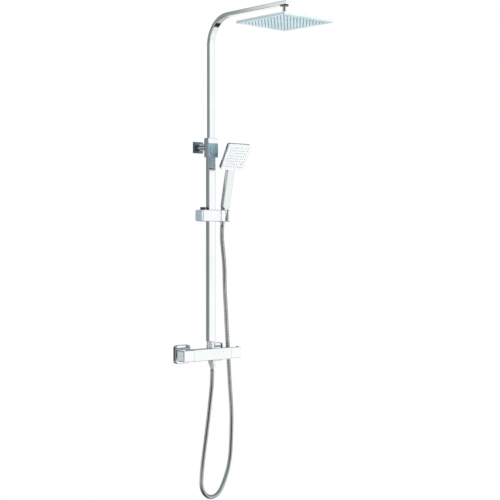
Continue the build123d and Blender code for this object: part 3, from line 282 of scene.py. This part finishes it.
floor_grain = node(tree, "ShaderNodeTexNoise", {"Scale": 6.0, "Detail": 3.0})
tree.links.new(floor_place.outputs["Object"], floor_grain.inputs["Vector"])
floor_tone = ramp(tree, [(0.3, FLOOR_DARK), (0.7, FLOOR_PALE)])
tree.links.new(floor_grain.outputs["Fac"], floor_tone.inputs[0])
floor_coat = node(tree, "ShaderNodeBsdfPrincipled", {"Roughness": 0.6})
tree.links.new(floor_tone.outputs[0], floor_coat.inputs["Base Color"])
faded = node(tree, "ShaderNodeBsdfTransparent")
floor_mix = node(tree, "ShaderNodeMixShader")
tree.links.new(fade.outputs[0], floor_mix.inputs[0])
tree.links.new(floor_coat.outputs[0], floor_mix.inputs[1])
tree.links.new(faded.outputs[0], floor_mix.inputs[2])
floor_out = node(tree, "ShaderNodeOutputMaterial")
tree.links.new(floor_mix.outputs[0], floor_out.inputs["Surface"])
floor.data.materials.append(floor_paint)

# Wall inlets
# Two brass unions screw into the wall with G1/2 tails and carry the mixer by two nuts over fibre
# washers. A chromed rosette, pressed from brass sheet, hides each hole, and a moulded check valve
# sits in each boss of the body.
marks = bpy.data.node_groups.new("surface_marks", "ShaderNodeTree")
for socket, kind in (
    ("Colour", "NodeSocketColor"),
    ("Shade", "NodeSocketColor"),
    ("Roughness", "NodeSocketFloat"),
    ("Spread", "NodeSocketFloat"),
    ("Wipe Scale", "NodeSocketFloat"),
    ("Grain Scale", "NodeSocketFloat"),
    ("Grain Stretch", "NodeSocketVector"),
):
    marks.interface.new_socket(socket, in_out="INPUT", socket_type=kind)
for socket, kind in (
    ("Colour", "NodeSocketColor"),
    ("Roughness", "NodeSocketFloat"),
    ("Height", "NodeSocketFloat"),
):
    marks.interface.new_socket(socket, in_out="OUTPUT", socket_type=kind)
given = node(marks, "NodeGroupInput")
on_piece = node(marks, "ShaderNodeTexCoord")
wipe_noise = node(
    marks, "ShaderNodeTexNoise", {"Detail": 5.0, "Roughness": 0.6, "Distortion": 0.4}
)
marks.links.new(on_piece.outputs["Object"], wipe_noise.inputs["Vector"])
marks.links.new(given.outputs["Wipe Scale"], wipe_noise.inputs["Scale"])
wiped = node(
    marks,
    "ShaderNodeMapRange",
    {"From Min": 0.35, "From Max": 0.68},
    interpolation_type="SMOOTHSTEP",
)
marks.links.new(wipe_noise.outputs["Fac"], wiped.inputs["Value"])
drawn = node(marks, "ShaderNodeVectorMath", operation="MULTIPLY")
marks.links.new(on_piece.outputs["Object"], drawn.inputs[0])
marks.links.new(given.outputs["Grain Stretch"], drawn.inputs[1])
grain_noise = node(marks, "ShaderNodeTexNoise", {"Detail": 3.0, "Roughness": 0.55})
marks.links.new(drawn.outputs[0], grain_noise.inputs["Vector"])
marks.links.new(given.outputs["Grain Scale"], grain_noise.inputs["Scale"])
toned = node(marks, "ShaderNodeMix", data_type="RGBA")
marks.links.new(wiped.outputs[0], toned.inputs["Factor"])
marks.links.new(given.outputs["Colour"], toned.inputs["A"])
marks.links.new(given.outputs["Shade"], toned.inputs["B"])
both = node(marks, "ShaderNodeMath", operation="ADD")
marks.links.new(wiped.outputs[0], both.inputs[0])
marks.links.new(grain_noise.outputs["Fac"], both.inputs[1])
dulled = node(marks, "ShaderNodeMath", operation="MULTIPLY_ADD")
marks.links.new(both.outputs[0], dulled.inputs[0])
marks.links.new(given.outputs["Spread"], dulled.inputs[1])
marks.links.new(given.outputs["Roughness"], dulled.inputs[2])
taken = node(marks, "NodeGroupOutput")
marks.links.new(toned.outputs["Result"], taken.inputs["Colour"])
marks.links.new(dulled.outputs[0], taken.inputs["Roughness"])
marks.links.new(grain_noise.outputs["Fac"], taken.inputs["Height"])

EVEN = (1, 1, 1)
RELIEF_DEPTH = 0.0002


def finish(
    name, colour, shade, roughness, spread, wipe, grain, bump, stretch=EVEN, metallic=0.0
):
    """A material whose colour, gloss and relief come from the shared surface marks.

    Wipe and grain are the scales of the two marks, and stretch draws the grain out along an axis.
    """
    made = bpy.data.materials.new(name)
    made.use_nodes = True
    tree = made.node_tree
    surface = tree.nodes["Principled BSDF"]
    surface.inputs["Metallic"].default_value = metallic
    worn = node(
        tree,
        "ShaderNodeGroup",
        {
            "Colour": (*colour, 1),
            "Shade": (*shade, 1),
            "Roughness": roughness,
            "Spread": spread,
            "Wipe Scale": wipe,
            "Grain Scale": grain,
            "Grain Stretch": stretch,
        },
        node_tree=marks,
    )
    relief = node(tree, "ShaderNodeBump", {"Strength": bump, "Distance": RELIEF_DEPTH})
    tree.links.new(worn.outputs["Height"], relief.inputs["Height"])
    tree.links.new(worn.outputs["Colour"], surface.inputs["Base Color"])
    tree.links.new(worn.outputs["Roughness"], surface.inputs["Roughness"])
    tree.links.new(relief.outputs["Normal"], surface.inputs["Normal"])
    return made


def dress(material, *names):
    """Gives CAD nodes a material of this scene."""
    for name in names:
        nodes[name].data.materials.clear()
        nodes[name].data.materials.append(material)


CHROME = (0.86, 0.88, 0.89)
CHROME_SHADE = (0.82, 0.845, 0.855)
chrome = finish(
    "polished_chrome",
    colour=CHROME,
    shade=CHROME_SHADE,
    roughness=0.025,
    spread=0.03,
    wipe=9,
    grain=900,
    bump=0.02,
    metallic=1,
)
brass = finish(
    "turned_brass",
    colour=(0.72, 0.53, 0.24),
    shade=(0.55, 0.38, 0.16),
    roughness=0.2,
    spread=0.1,
    wipe=40,
    grain=700,
    bump=0.15,
    stretch=(1, 9, 1),
    metallic=1,
)
fibre = finish(
    "washer_fibre",
    colour=(0.05, 0.05, 0.055),
    shade=(0.03, 0.03, 0.034),
    roughness=0.6,
    spread=0.15,
    wipe=80,
    grain=1500,
    bump=0.4,
)
acetal = finish(
    "moulded_acetal",
    colour=(0.82, 0.82, 0.79),
    shade=(0.76, 0.76, 0.72),
    roughness=0.35,
    spread=0.12,
    wipe=60,
    grain=1200,
    bump=0.15,
)
dress(chrome, "inlet_unions", "union_nuts", "wall_rosettes")
dress(fibre, "inlet_washers")
dress(acetal, "check_valves")

# Bar mixer
# A square-fronted brass casting, polished and chromed, with a cartridge at each end. Chromed knobs
# with satin ends sit on the cartridges' spindles, each held by a steel screw: temperature on the
# right, with its stop button, and flow on the left.
cap_chrome = finish(
    "satin_end_chrome",
    colour=(0.82, 0.9, 0.92),
    shade=(0.77, 0.85, 0.87),
    roughness=0.3,
    spread=0.08,
    wipe=30,
    grain=1200,
    bump=0.04,
    metallic=0.25,
)
button = finish(
    "button_plastic",
    colour=(0.05, 0.05, 0.055),
    shade=(0.03, 0.03, 0.034),
    roughness=0.2,
    spread=0.1,
    wipe=120,
    grain=2500,
    bump=0.08,
)
steel = finish(
    "bright_steel",
    colour=(0.62, 0.63, 0.65),
    shade=(0.5, 0.51, 0.53),
    roughness=0.18,
    spread=0.1,
    wipe=90,
    grain=900,
    bump=0.1,
    stretch=(1, 1, 6),
    metallic=1,
)
dress(chrome, "valve_body", "temperature_knob", "flow_knob")
dress(cap_chrome, "temperature_knob_cap", "flow_knob_cap")
dress(button, "stop_button")
dress(acetal, "thermostatic_cartridge", "diverter_cartridge")
dress(fibre, "cartridge_seals")
dress(brass, "cartridge_nuts", "temperature_spindle", "flow_spindle")
dress(steel, "temperature_knob_screw", "flow_knob_screw")

# Outlets
# Chromed brass nipples screw into the top and the bottom of the bar. A round satin-plated nut
# draws the riser's adaptor down on a washer at the top, and the hose's nut, plated the same, seats
# on the lower nipple.
nut_satin = finish(
    "satin_nut",
    colour=(0.84, 0.87, 0.88),
    shade=(0.79, 0.82, 0.83),
    roughness=0.16,
    spread=0.06,
    wipe=40,
    grain=1200,
    bump=0.04,
    metallic=0.45,
)
dress(chrome, "outlet_nipples", "riser_adaptor")
dress(nut_satin, "riser_union_nut", "hose_nut")
dress(fibre, "outlet_washers")

# Riser
# Two flat rectangular tubes, drawn, bent and chromed. The inner one slides in the outer one on a
# piston with seals, and its arm is closed by a pressed cap.
tube_chrome = finish(
    "drawn_tube_chrome",
    colour=CHROME,
    shade=CHROME_SHADE,
    roughness=0.03,
    spread=0.03,
    wipe=7,
    grain=500,
    bump=0.02,
    stretch=(1, 1, 0.05),
    metallic=1,
)
dress(tube_chrome, "lower_tube", "upper_tube", "arm_end_cap")
dress(acetal, "piston_carrier")
dress(fibre, "piston_seals")

# Wall bracket
# A cast block grips the outer tube's top and guides the inner one through a bush and a wiper. A
# stem and a square chromed flange hold it to the wall over a brass boss, and a disc in its grey
# front cap clamps the height. The flange's chrome is darkened to a blue-grey as painted shade.
# Painted shade: the flange's chrome is darkened to a blue-grey to stand in for the wall's shadow on
# it
flange_painted_shade_chrome = finish(
    "flange_painted_shade_chrome",
    colour=(0.14, 0.2, 0.235),
    shade=(0.12, 0.17, 0.205),
    roughness=0.12,
    spread=0.06,
    wipe=30,
    grain=900,
    bump=0.05,
    metallic=0.6,
)
cap_grey = finish(
    "grey_cap",
    colour=(0.31, 0.455, 0.52),
    shade=(0.285, 0.42, 0.485),
    roughness=0.22,
    spread=0.08,
    wipe=40,
    grain=1200,
    bump=0.05,
)
dress(chrome, "bracket_block", "bracket_stem")
dress(flange_painted_shade_chrome, "bracket_flange")
dress(cap_grey, "bracket_front_cap", "clamp_knob")
dress(acetal, "telescope_bush")
dress(fibre, "telescope_seal")
dress(brass, "wall_boss")
dress(steel, "wall_screw", "bracket_grub_screw")

# Overhead head
# Two thin stainless plates with a rubber nozzle mat between them. The head hangs on a ball in a
# chromed nut, and the ball's stud turns in a black moulded nipple under the arm.
face_steel = finish(
    "satin_face_steel",
    colour=(0.64, 0.87, 0.94),
    shade=(0.61, 0.83, 0.9),
    roughness=0.1,
    spread=0.08,
    wipe=12,
    grain=600,
    bump=0.03,
    stretch=(1, 30, 1),
    metallic=1,
)
black_gloss = finish(
    "black_moulding",
    colour=(0.012, 0.012, 0.014),
    shade=(0.02, 0.02, 0.022),
    roughness=0.12,
    spread=0.1,
    wipe=90,
    grain=1600,
    bump=0.06,
)
nozzle_rubber = finish(
    "nozzle_rubber",
    colour=(0.6, 0.78, 0.84),
    shade=(0.52, 0.7, 0.76),
    roughness=0.4,
    spread=0.15,
    wipe=160,
    grain=2500,
    bump=0.2,
)
shell_steel = finish(
    "brushed_shell_steel",
    colour=(0.88, 0.9, 0.9),
    shade=(0.84, 0.86, 0.87),
    roughness=0.3,
    spread=0.08,
    wipe=14,
    grain=700,
    bump=0.04,
    stretch=(1, 30, 1),
    metallic=0.45,
)
dress(black_gloss, "arm_nipple")
dress(chrome, "swivel_stud", "ball_nut")
dress(shell_steel, "head_top_shell")
dress(steel, "stud_clip")
dress(fibre, "ball_seal")
dress(face_steel, "head_face_plate")

HEAD_MIDDLE = (0, -0.432)
HEAD_FACE_HEIGHT = 1.09
HEAD_NOZZLES = 13
HEAD_PITCH = 0.0145
HEAD_NOZZLE_RADIUS = 0.0018
HEAD_PROUD = 0.0015
HEAD_MAT_SIDE = 0.2112
PLATE_THICKNESS = 0.003
MAT_THICKNESS = 0.0015
MAT_EDGE = MAT_THICKNESS * 0.3
NOZZLE_SIDES = 10
NOZZLE_CREASE = 40
FACING_DOWN = -0.9
# The tip's taper and the bore's rim are shares of the radius, and the tip's length is a share of
# what the nozzle stands proud.
TIP_TAPER = 0.3
TIP_LENGTH = 0.35
BORE_RIM = 0.2


def nozzle_mat(name, rubber, across, along, pitch, radius, proud, mat_size):
    """A rubber mat with a grid of tapered, bored nozzles that point down through a plate.

    The plate's lower face is at height zero.
    """
    bpy.ops.object.select_all(action="DESELECT")
    bpy.ops.mesh.primitive_cylinder_add(
        vertices=NOZZLE_SIDES,
        radius=radius,
        depth=PLATE_THICKNESS + proud,
        location=(0, 0, (PLATE_THICKNESS - proud) / 2),
    )
    nozzle = bpy.context.object
    bpy.ops.object.transform_apply(location=True)
    bpy.ops.object.mode_set(mode="EDIT")
    bpy.ops.mesh.select_mode(type="FACE")
    bpy.ops.mesh.select_all(action="DESELECT")
    bpy.ops.object.mode_set(mode="OBJECT")
    for face in nozzle.data.polygons:
        face.select = face.normal.z < FACING_DOWN
    bpy.ops.object.mode_set(mode="EDIT")
    bpy.ops.mesh.inset(thickness=radius * TIP_TAPER, depth=proud * TIP_LENGTH)
    bpy.ops.mesh.inset(thickness=radius * BORE_RIM)
    bpy.ops.mesh.extrude_region_move(TRANSFORM_OT_translate={"value": (0, 0, proud)})
    bpy.ops.object.mode_set(mode="OBJECT")
    for count, step in ((across, (pitch[0], 0, 0)), (along, (0, pitch[1], 0))):
        grid = nozzle.modifiers.new("grid", "ARRAY")
        grid.count = count
        grid.use_relative_offset = False
        grid.use_constant_offset = True
        grid.constant_offset_displace = step
        bpy.ops.object.modifier_apply(modifier=grid.name)
    bpy.ops.object.mode_set(mode="EDIT")
    bpy.ops.mesh.select_all(action="SELECT")
    bpy.ops.transform.translate(
        value=(-pitch[0] * (across - 1) / 2, -pitch[1] * (along - 1) / 2, 0)
    )
    bpy.ops.object.mode_set(mode="OBJECT")
    bpy.ops.mesh.primitive_cube_add(
        size=1,
        location=(0, 0, PLATE_THICKNESS + MAT_THICKNESS / 2),
        scale=(*mat_size, MAT_THICKNESS),
    )
    mat = bpy.context.object
    bpy.ops.object.transform_apply(location=True, scale=True)
    soften = mat.modifiers.new("soft_edge", "BEVEL")
    soften.width = MAT_EDGE
    soften.segments = 2
    bpy.ops.object.modifier_apply(modifier=soften.name)
    nozzle.select_set(True)
    mat.select_set(True)
    bpy.context.view_layer.objects.active = nozzle
    bpy.ops.object.join()
    bpy.ops.object.shade_smooth_by_angle(angle=math.radians(NOZZLE_CREASE))
    nozzle.name = name
    nozzle.data.materials.append(rubber)
    return nozzle


head_nozzles = nozzle_mat(
    "head_nozzles",
    nozzle_rubber,
    across=HEAD_NOZZLES,
    along=HEAD_NOZZLES,
    pitch=(HEAD_PITCH, HEAD_PITCH),
    radius=HEAD_NOZZLE_RADIUS,
    proud=HEAD_PROUD,
    mat_size=(HEAD_MAT_SIDE, HEAD_MAT_SIDE),
)
head_nozzles.location = (*HEAD_MIDDLE, HEAD_FACE_HEIGHT)
bpy.ops.object.transform_apply(location=True)
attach(head_nozzles, "head")
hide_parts("head_nozzle_mat")

# Slider and holder
# A chromed plastic slider with a satin end cap runs on the outer tube on a moulded bush, with a
# black tab that frees it. The holder's cup turns on a steel bolt at its right end and takes the
# hose's cone.
plated = finish(
    "plated_plastic",
    colour=CHROME,
    shade=CHROME_SHADE,
    roughness=0.035,
    spread=0.03,
    wipe=14,
    grain=800,
    bump=0.03,
    metallic=1,
)
slider_cap_satin = finish(
    "slider_cap_satin",
    colour=(0.66, 0.76, 0.82),
    shade=(0.61, 0.71, 0.77),
    roughness=0.3,
    spread=0.08,
    wipe=30,
    grain=1200,
    bump=0.04,
    metallic=0.6,
)
dress(plated, "slider_body", "handset_holder")
dress(slider_cap_satin, "slider_end_cap")
dress(black_gloss, "release_tab")
dress(acetal, "slider_bush")
dress(steel, "holder_pivot_bolt")

# Handset
# A hollow plated moulding: a flat square head leaning forward on a slim rectangular handle, with a
# pale face and rubber nozzles. The cone nut of the hose screws on below.
face_plastic = finish(
    "pale_face",
    colour=(0.95, 0.97, 0.975),
    shade=(0.93, 0.95, 0.955),
    roughness=0.25,
    spread=0.08,
    wipe=40,
    grain=1200,
    bump=0.05,
)
handset_rubber = finish(
    "grey_rubber",
    colour=(0.4, 0.43, 0.44),
    shade=(0.34, 0.37, 0.38),
    roughness=0.4,
    spread=0.15,
    wipe=160,
    grain=2500,
    bump=0.2,
)
dress(plated, "handset_shell")
dress(face_plastic, "handset_face")
dress(chrome, "hose_cone_nut")

HANDSET_FACE = (0.0586, -0.14, 0.6747)
HANDSET_LEAN = 28.5
HANDSET_ACROSS = 9
HANDSET_ALONG = 8
HANDSET_PITCH = (0.0095, 0.01)
HANDSET_NOZZLE_RADIUS = 0.0013
HANDSET_PROUD = 0.001
HANDSET_MAT = (0.095, 0.088)
handset_nozzles = nozzle_mat(
    "handset_nozzles",
    handset_rubber,
    across=HANDSET_ACROSS,
    along=HANDSET_ALONG,
    pitch=HANDSET_PITCH,
    radius=HANDSET_NOZZLE_RADIUS,
    proud=HANDSET_PROUD,
    mat_size=HANDSET_MAT,
)
handset_nozzles.rotation_euler = (math.radians(HANDSET_LEAN - 90), 0, 0)
handset_nozzles.location = HANDSET_FACE
bpy.ops.object.transform_apply(location=True, rotation=True)
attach(handset_nozzles, "handset")
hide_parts("handset_nozzle_mat")

# Hose
# A stainless strip wound into fine interlocked ribs over a rubber tube, 14 mm across and about
# 1.5 m long, with a crimped sleeve at each end. It hangs from the cone nut, passes behind the bar
# and loops up to the outlet.
HOSE_RADIUS = 0.007
GROOVE_RADIUS = 0.0059
SHOULDER_RADIUS = HOSE_RADIUS * 0.985
RIB_PITCH = 0.006
RIB_PROFILE = (
    (0, GROOVE_RADIUS),
    (0.1, SHOULDER_RADIUS),
    (0.2, HOSE_RADIUS),
    (0.8, HOSE_RADIUS),
    (0.9, SHOULDER_RADIUS),
)
RIB_CREASE = 50
# Painted shade in the grooves: the share of each rib that the darkening spans, and the grey the
# colour darkens to there
GROOVE_WIDTH = 0.12
GROOVE_PAINTED_SHADE = 0.35
HOSE_SIDES = 18
# A sleeve's length, and where its rounded lip begins and ends, as shares of it from the ribs
SLEEVE = 0.014
LIP_FOOT = 0.03
LIP_TOP = 0.15
ROUTE_STEPS = 24
# The CAD hose's route, set back a little beside the temperature knob
ROUTE = [
    (0.0586, -0.06717, 0.45249),
    (0.0586, -0.05953, 0.41527),
    (0.085, -0.048, 0.305),
    (0.0993, -0.032, 0.228),
    (0.1066, -0.030, 0.158),
    (0.111, -0.030, 0.080),
    (0.121, -0.028, -0.020),
    (0.127, -0.029, -0.124),
    (0.132, -0.033, -0.209),
    (0.125, -0.039, -0.305),
    (0.113, -0.045, -0.388),
    (0.080, -0.051, -0.455),
    (0.046, -0.056, -0.494),
    (-0.001, -0.060, -0.497),
    (-0.036, -0.063, -0.463),
    (-0.035, -0.065, -0.403),
    (-0.022, -0.066, -0.319),
    (-0.008, -0.066, -0.239),
    (0.004, -0.066, -0.156),
    (0.012, -0.066, -0.096),
    (0.012, -0.066, -0.046),
]
route = bpy.data.curves.new("hose_route", "CURVE")
route.dimensions = "3D"
route.resolution_u = ROUTE_STEPS
spline = route.splines.new("NURBS")
spline.points.add(len(ROUTE) - 1)
for point, spot in zip(spline.points, ROUTE):
    point.co = (*spot, 1)
spline.order_u = 3
spline.use_endpoint_u = True
route_object = bpy.data.objects.new("hose_route", route)
scene.collection.objects.link(route_object)
route_mesh = bpy.data.meshes.new_from_object(route_object)
line = [vertex.co.copy() for vertex in route_mesh.vertices]
bpy.data.objects.remove(route_object)
bpy.data.meshes.remove(route_mesh)
reached = [0.0]
for start, end in zip(line, line[1:]):
    reached.append(reached[-1] + (end - start).length)


def along_hose(distance):
    """The hose's centre and direction at a distance from the cone nut."""
    step = 0
    while step < len(line) - 2 and reached[step + 1] < distance:
        step += 1
    way = line[step + 1] - line[step]
    share = (distance - reached[step]) / way.length
    return line[step] + way * share, way.normalized()


def nearest(spot):
    """The hose's centre nearest to a spot, and its distance from the cone nut."""
    return min(zip(line, reached), key=lambda pair: (pair[0] - Vector(spot)).length)


hose_steel = finish(
    "hose_steel",
    colour=(0.74, 0.77, 0.77),
    shade=(0.64, 0.67, 0.67),
    roughness=0.04,
    spread=0.04,
    wipe=60,
    grain=900,
    bump=0.05,
    metallic=1,
)
# Painted shade: the base colour is darkened across the groove between each pair of ribs, where the
# ribs would shade each other
tree = hose_steel.node_tree
wrap = node(tree, "ShaderNodeUVMap", uv_map="hose_wrap")
wrap_axes = node(tree, "ShaderNodeSeparateXYZ")
tree.links.new(wrap.outputs[0], wrap_axes.inputs[0])
rib_phase = node(tree, "ShaderNodeMath", operation="FRACT")
tree.links.new(wrap_axes.outputs["Y"], rib_phase.inputs[0])
rib_shadow = ramp(
    tree,
    [(0.0, GROOVE_PAINTED_SHADE), (GROOVE_WIDTH, 1.0), (1 - GROOVE_WIDTH, 1.0), (1.0, GROOVE_PAINTED_SHADE)],
)
tree.links.new(rib_phase.outputs[0], rib_shadow.inputs[0])
rib_painted_shade = node(tree, "ShaderNodeMix", {"Factor": 1.0}, data_type="RGBA", blend_type="MULTIPLY")
surface = tree.nodes["Principled BSDF"]
tree.links.new(surface.inputs["Base Color"].links[0].from_socket, rib_painted_shade.inputs["A"])
tree.links.new(rib_shadow.outputs[0], rib_painted_shade.inputs["B"])
tree.links.new(rib_painted_shade.outputs["Result"], surface.inputs["Base Color"])


def hose_length(name, first, last, sleeve_first=False, sleeve_last=False):
    """A ribbed length between two distances, with a smooth crimped sleeve at a fitted end."""
    rings = []
    low = first + (SLEEVE if sleeve_first else 0)
    high = last - (SLEEVE if sleeve_last else 0)
    if sleeve_first:
        rings += [
            (first, HOSE_RADIUS),
            (first + SLEEVE * (1 - LIP_TOP), HOSE_RADIUS),
            (first + SLEEVE * (1 - LIP_FOOT), GROOVE_RADIUS),
        ]
    ribs = round((high - low) / RIB_PITCH)
    pitch = (high - low) / ribs
    for rib in range(ribs):
        for share, radius in RIB_PROFILE:
            rings.append((low + (rib + share) * pitch, radius))
    rings.append((high, GROOVE_RADIUS))
    if sleeve_last:
        rings += [
            (high + SLEEVE * LIP_FOOT, GROOVE_RADIUS),
            (high + SLEEVE * LIP_TOP, HOSE_RADIUS),
            (last, HOSE_RADIUS),
        ]
    points, faces, centres = [], [], []
    for distance, radius in rings:
        centre, way = along_hose(distance)
        side = way.cross(Vector((0, 1, 0))).normalized()
        up = side.cross(way)
        centres.append(centre)
        for corner in range(HOSE_SIDES):
            angle = 2 * math.pi * corner / HOSE_SIDES
            points.append(centre + (side * math.cos(angle) + up * math.sin(angle)) * radius)
    for ring in range(len(rings) - 1):
        for corner in range(HOSE_SIDES):
            here = ring * HOSE_SIDES + corner
            beside = ring * HOSE_SIDES + (corner + 1) % HOSE_SIDES
            faces.append((here, beside, beside + HOSE_SIDES, here + HOSE_SIDES))
    faces.append(tuple(reversed(range(HOSE_SIDES))))
    faces.append(tuple(range(len(points) - HOSE_SIDES, len(points))))
    mesh = bpy.data.meshes.new(name)
    mesh.from_pydata(points, [], faces)
    wraps = mesh.uv_layers.new(name="hose_wrap")
    for loop in mesh.loops:
        ring, corner = divmod(loop.vertex_index, HOSE_SIDES)
        wraps.data[loop.index].uv = (corner / HOSE_SIDES, (rings[ring][0] - low) / pitch)
    made = bpy.data.objects.new(name, mesh)
    scene.collection.objects.link(made)
    bpy.ops.object.select_all(action="DESELECT")
    made.select_set(True)
    bpy.context.view_layer.objects.active = made
    bpy.ops.object.mode_set(mode="EDIT")
    bpy.ops.mesh.select_all(action="SELECT")
    bpy.ops.mesh.normals_make_consistent(inside=False)
    bpy.ops.object.mode_set(mode="OBJECT")
    bpy.ops.object.shade_smooth_by_angle(angle=math.radians(RIB_CREASE))
    mesh.materials.append(hose_steel)
    return made


# The hose is parted where what carries it changes.
HOLDER_PART = (0.0718, -0.05377, 0.3601)
SLIDER_PART = (0.0955, -0.036, 0.243)
LOOP_PART = (0.0965, -0.048, -0.4215)
OUTLET_PART = (-0.035, -0.065, -0.403)
holder_end, holder_cut = nearest(HOLDER_PART)
slider_end, slider_cut = nearest(SLIDER_PART)
loop_right, loop_cut = nearest(LOOP_PART)
loop_left, outlet_cut = nearest(OUTLET_PART)
hose_top = hose_length("hose_below_cone", 0.0, holder_cut, sleeve_first=True)
hose_middle = hose_length("hose_upper_run", holder_cut, slider_cut)
hose_strand = hose_length("hose_strand", slider_cut, loop_cut)
hose_loop = hose_length("hose_loop", loop_cut, outlet_cut)
hose_outlet = hose_length("hose_outlet_run", outlet_cut, reached[-1], sleeve_last=True)
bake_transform(hose_top)
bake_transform(hose_middle)
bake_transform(hose_strand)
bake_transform(hose_loop)
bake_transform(hose_outlet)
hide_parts("hose_top")
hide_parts("hose_middle")
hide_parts("hose_main")
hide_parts("hose_main")
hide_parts("hose_main")
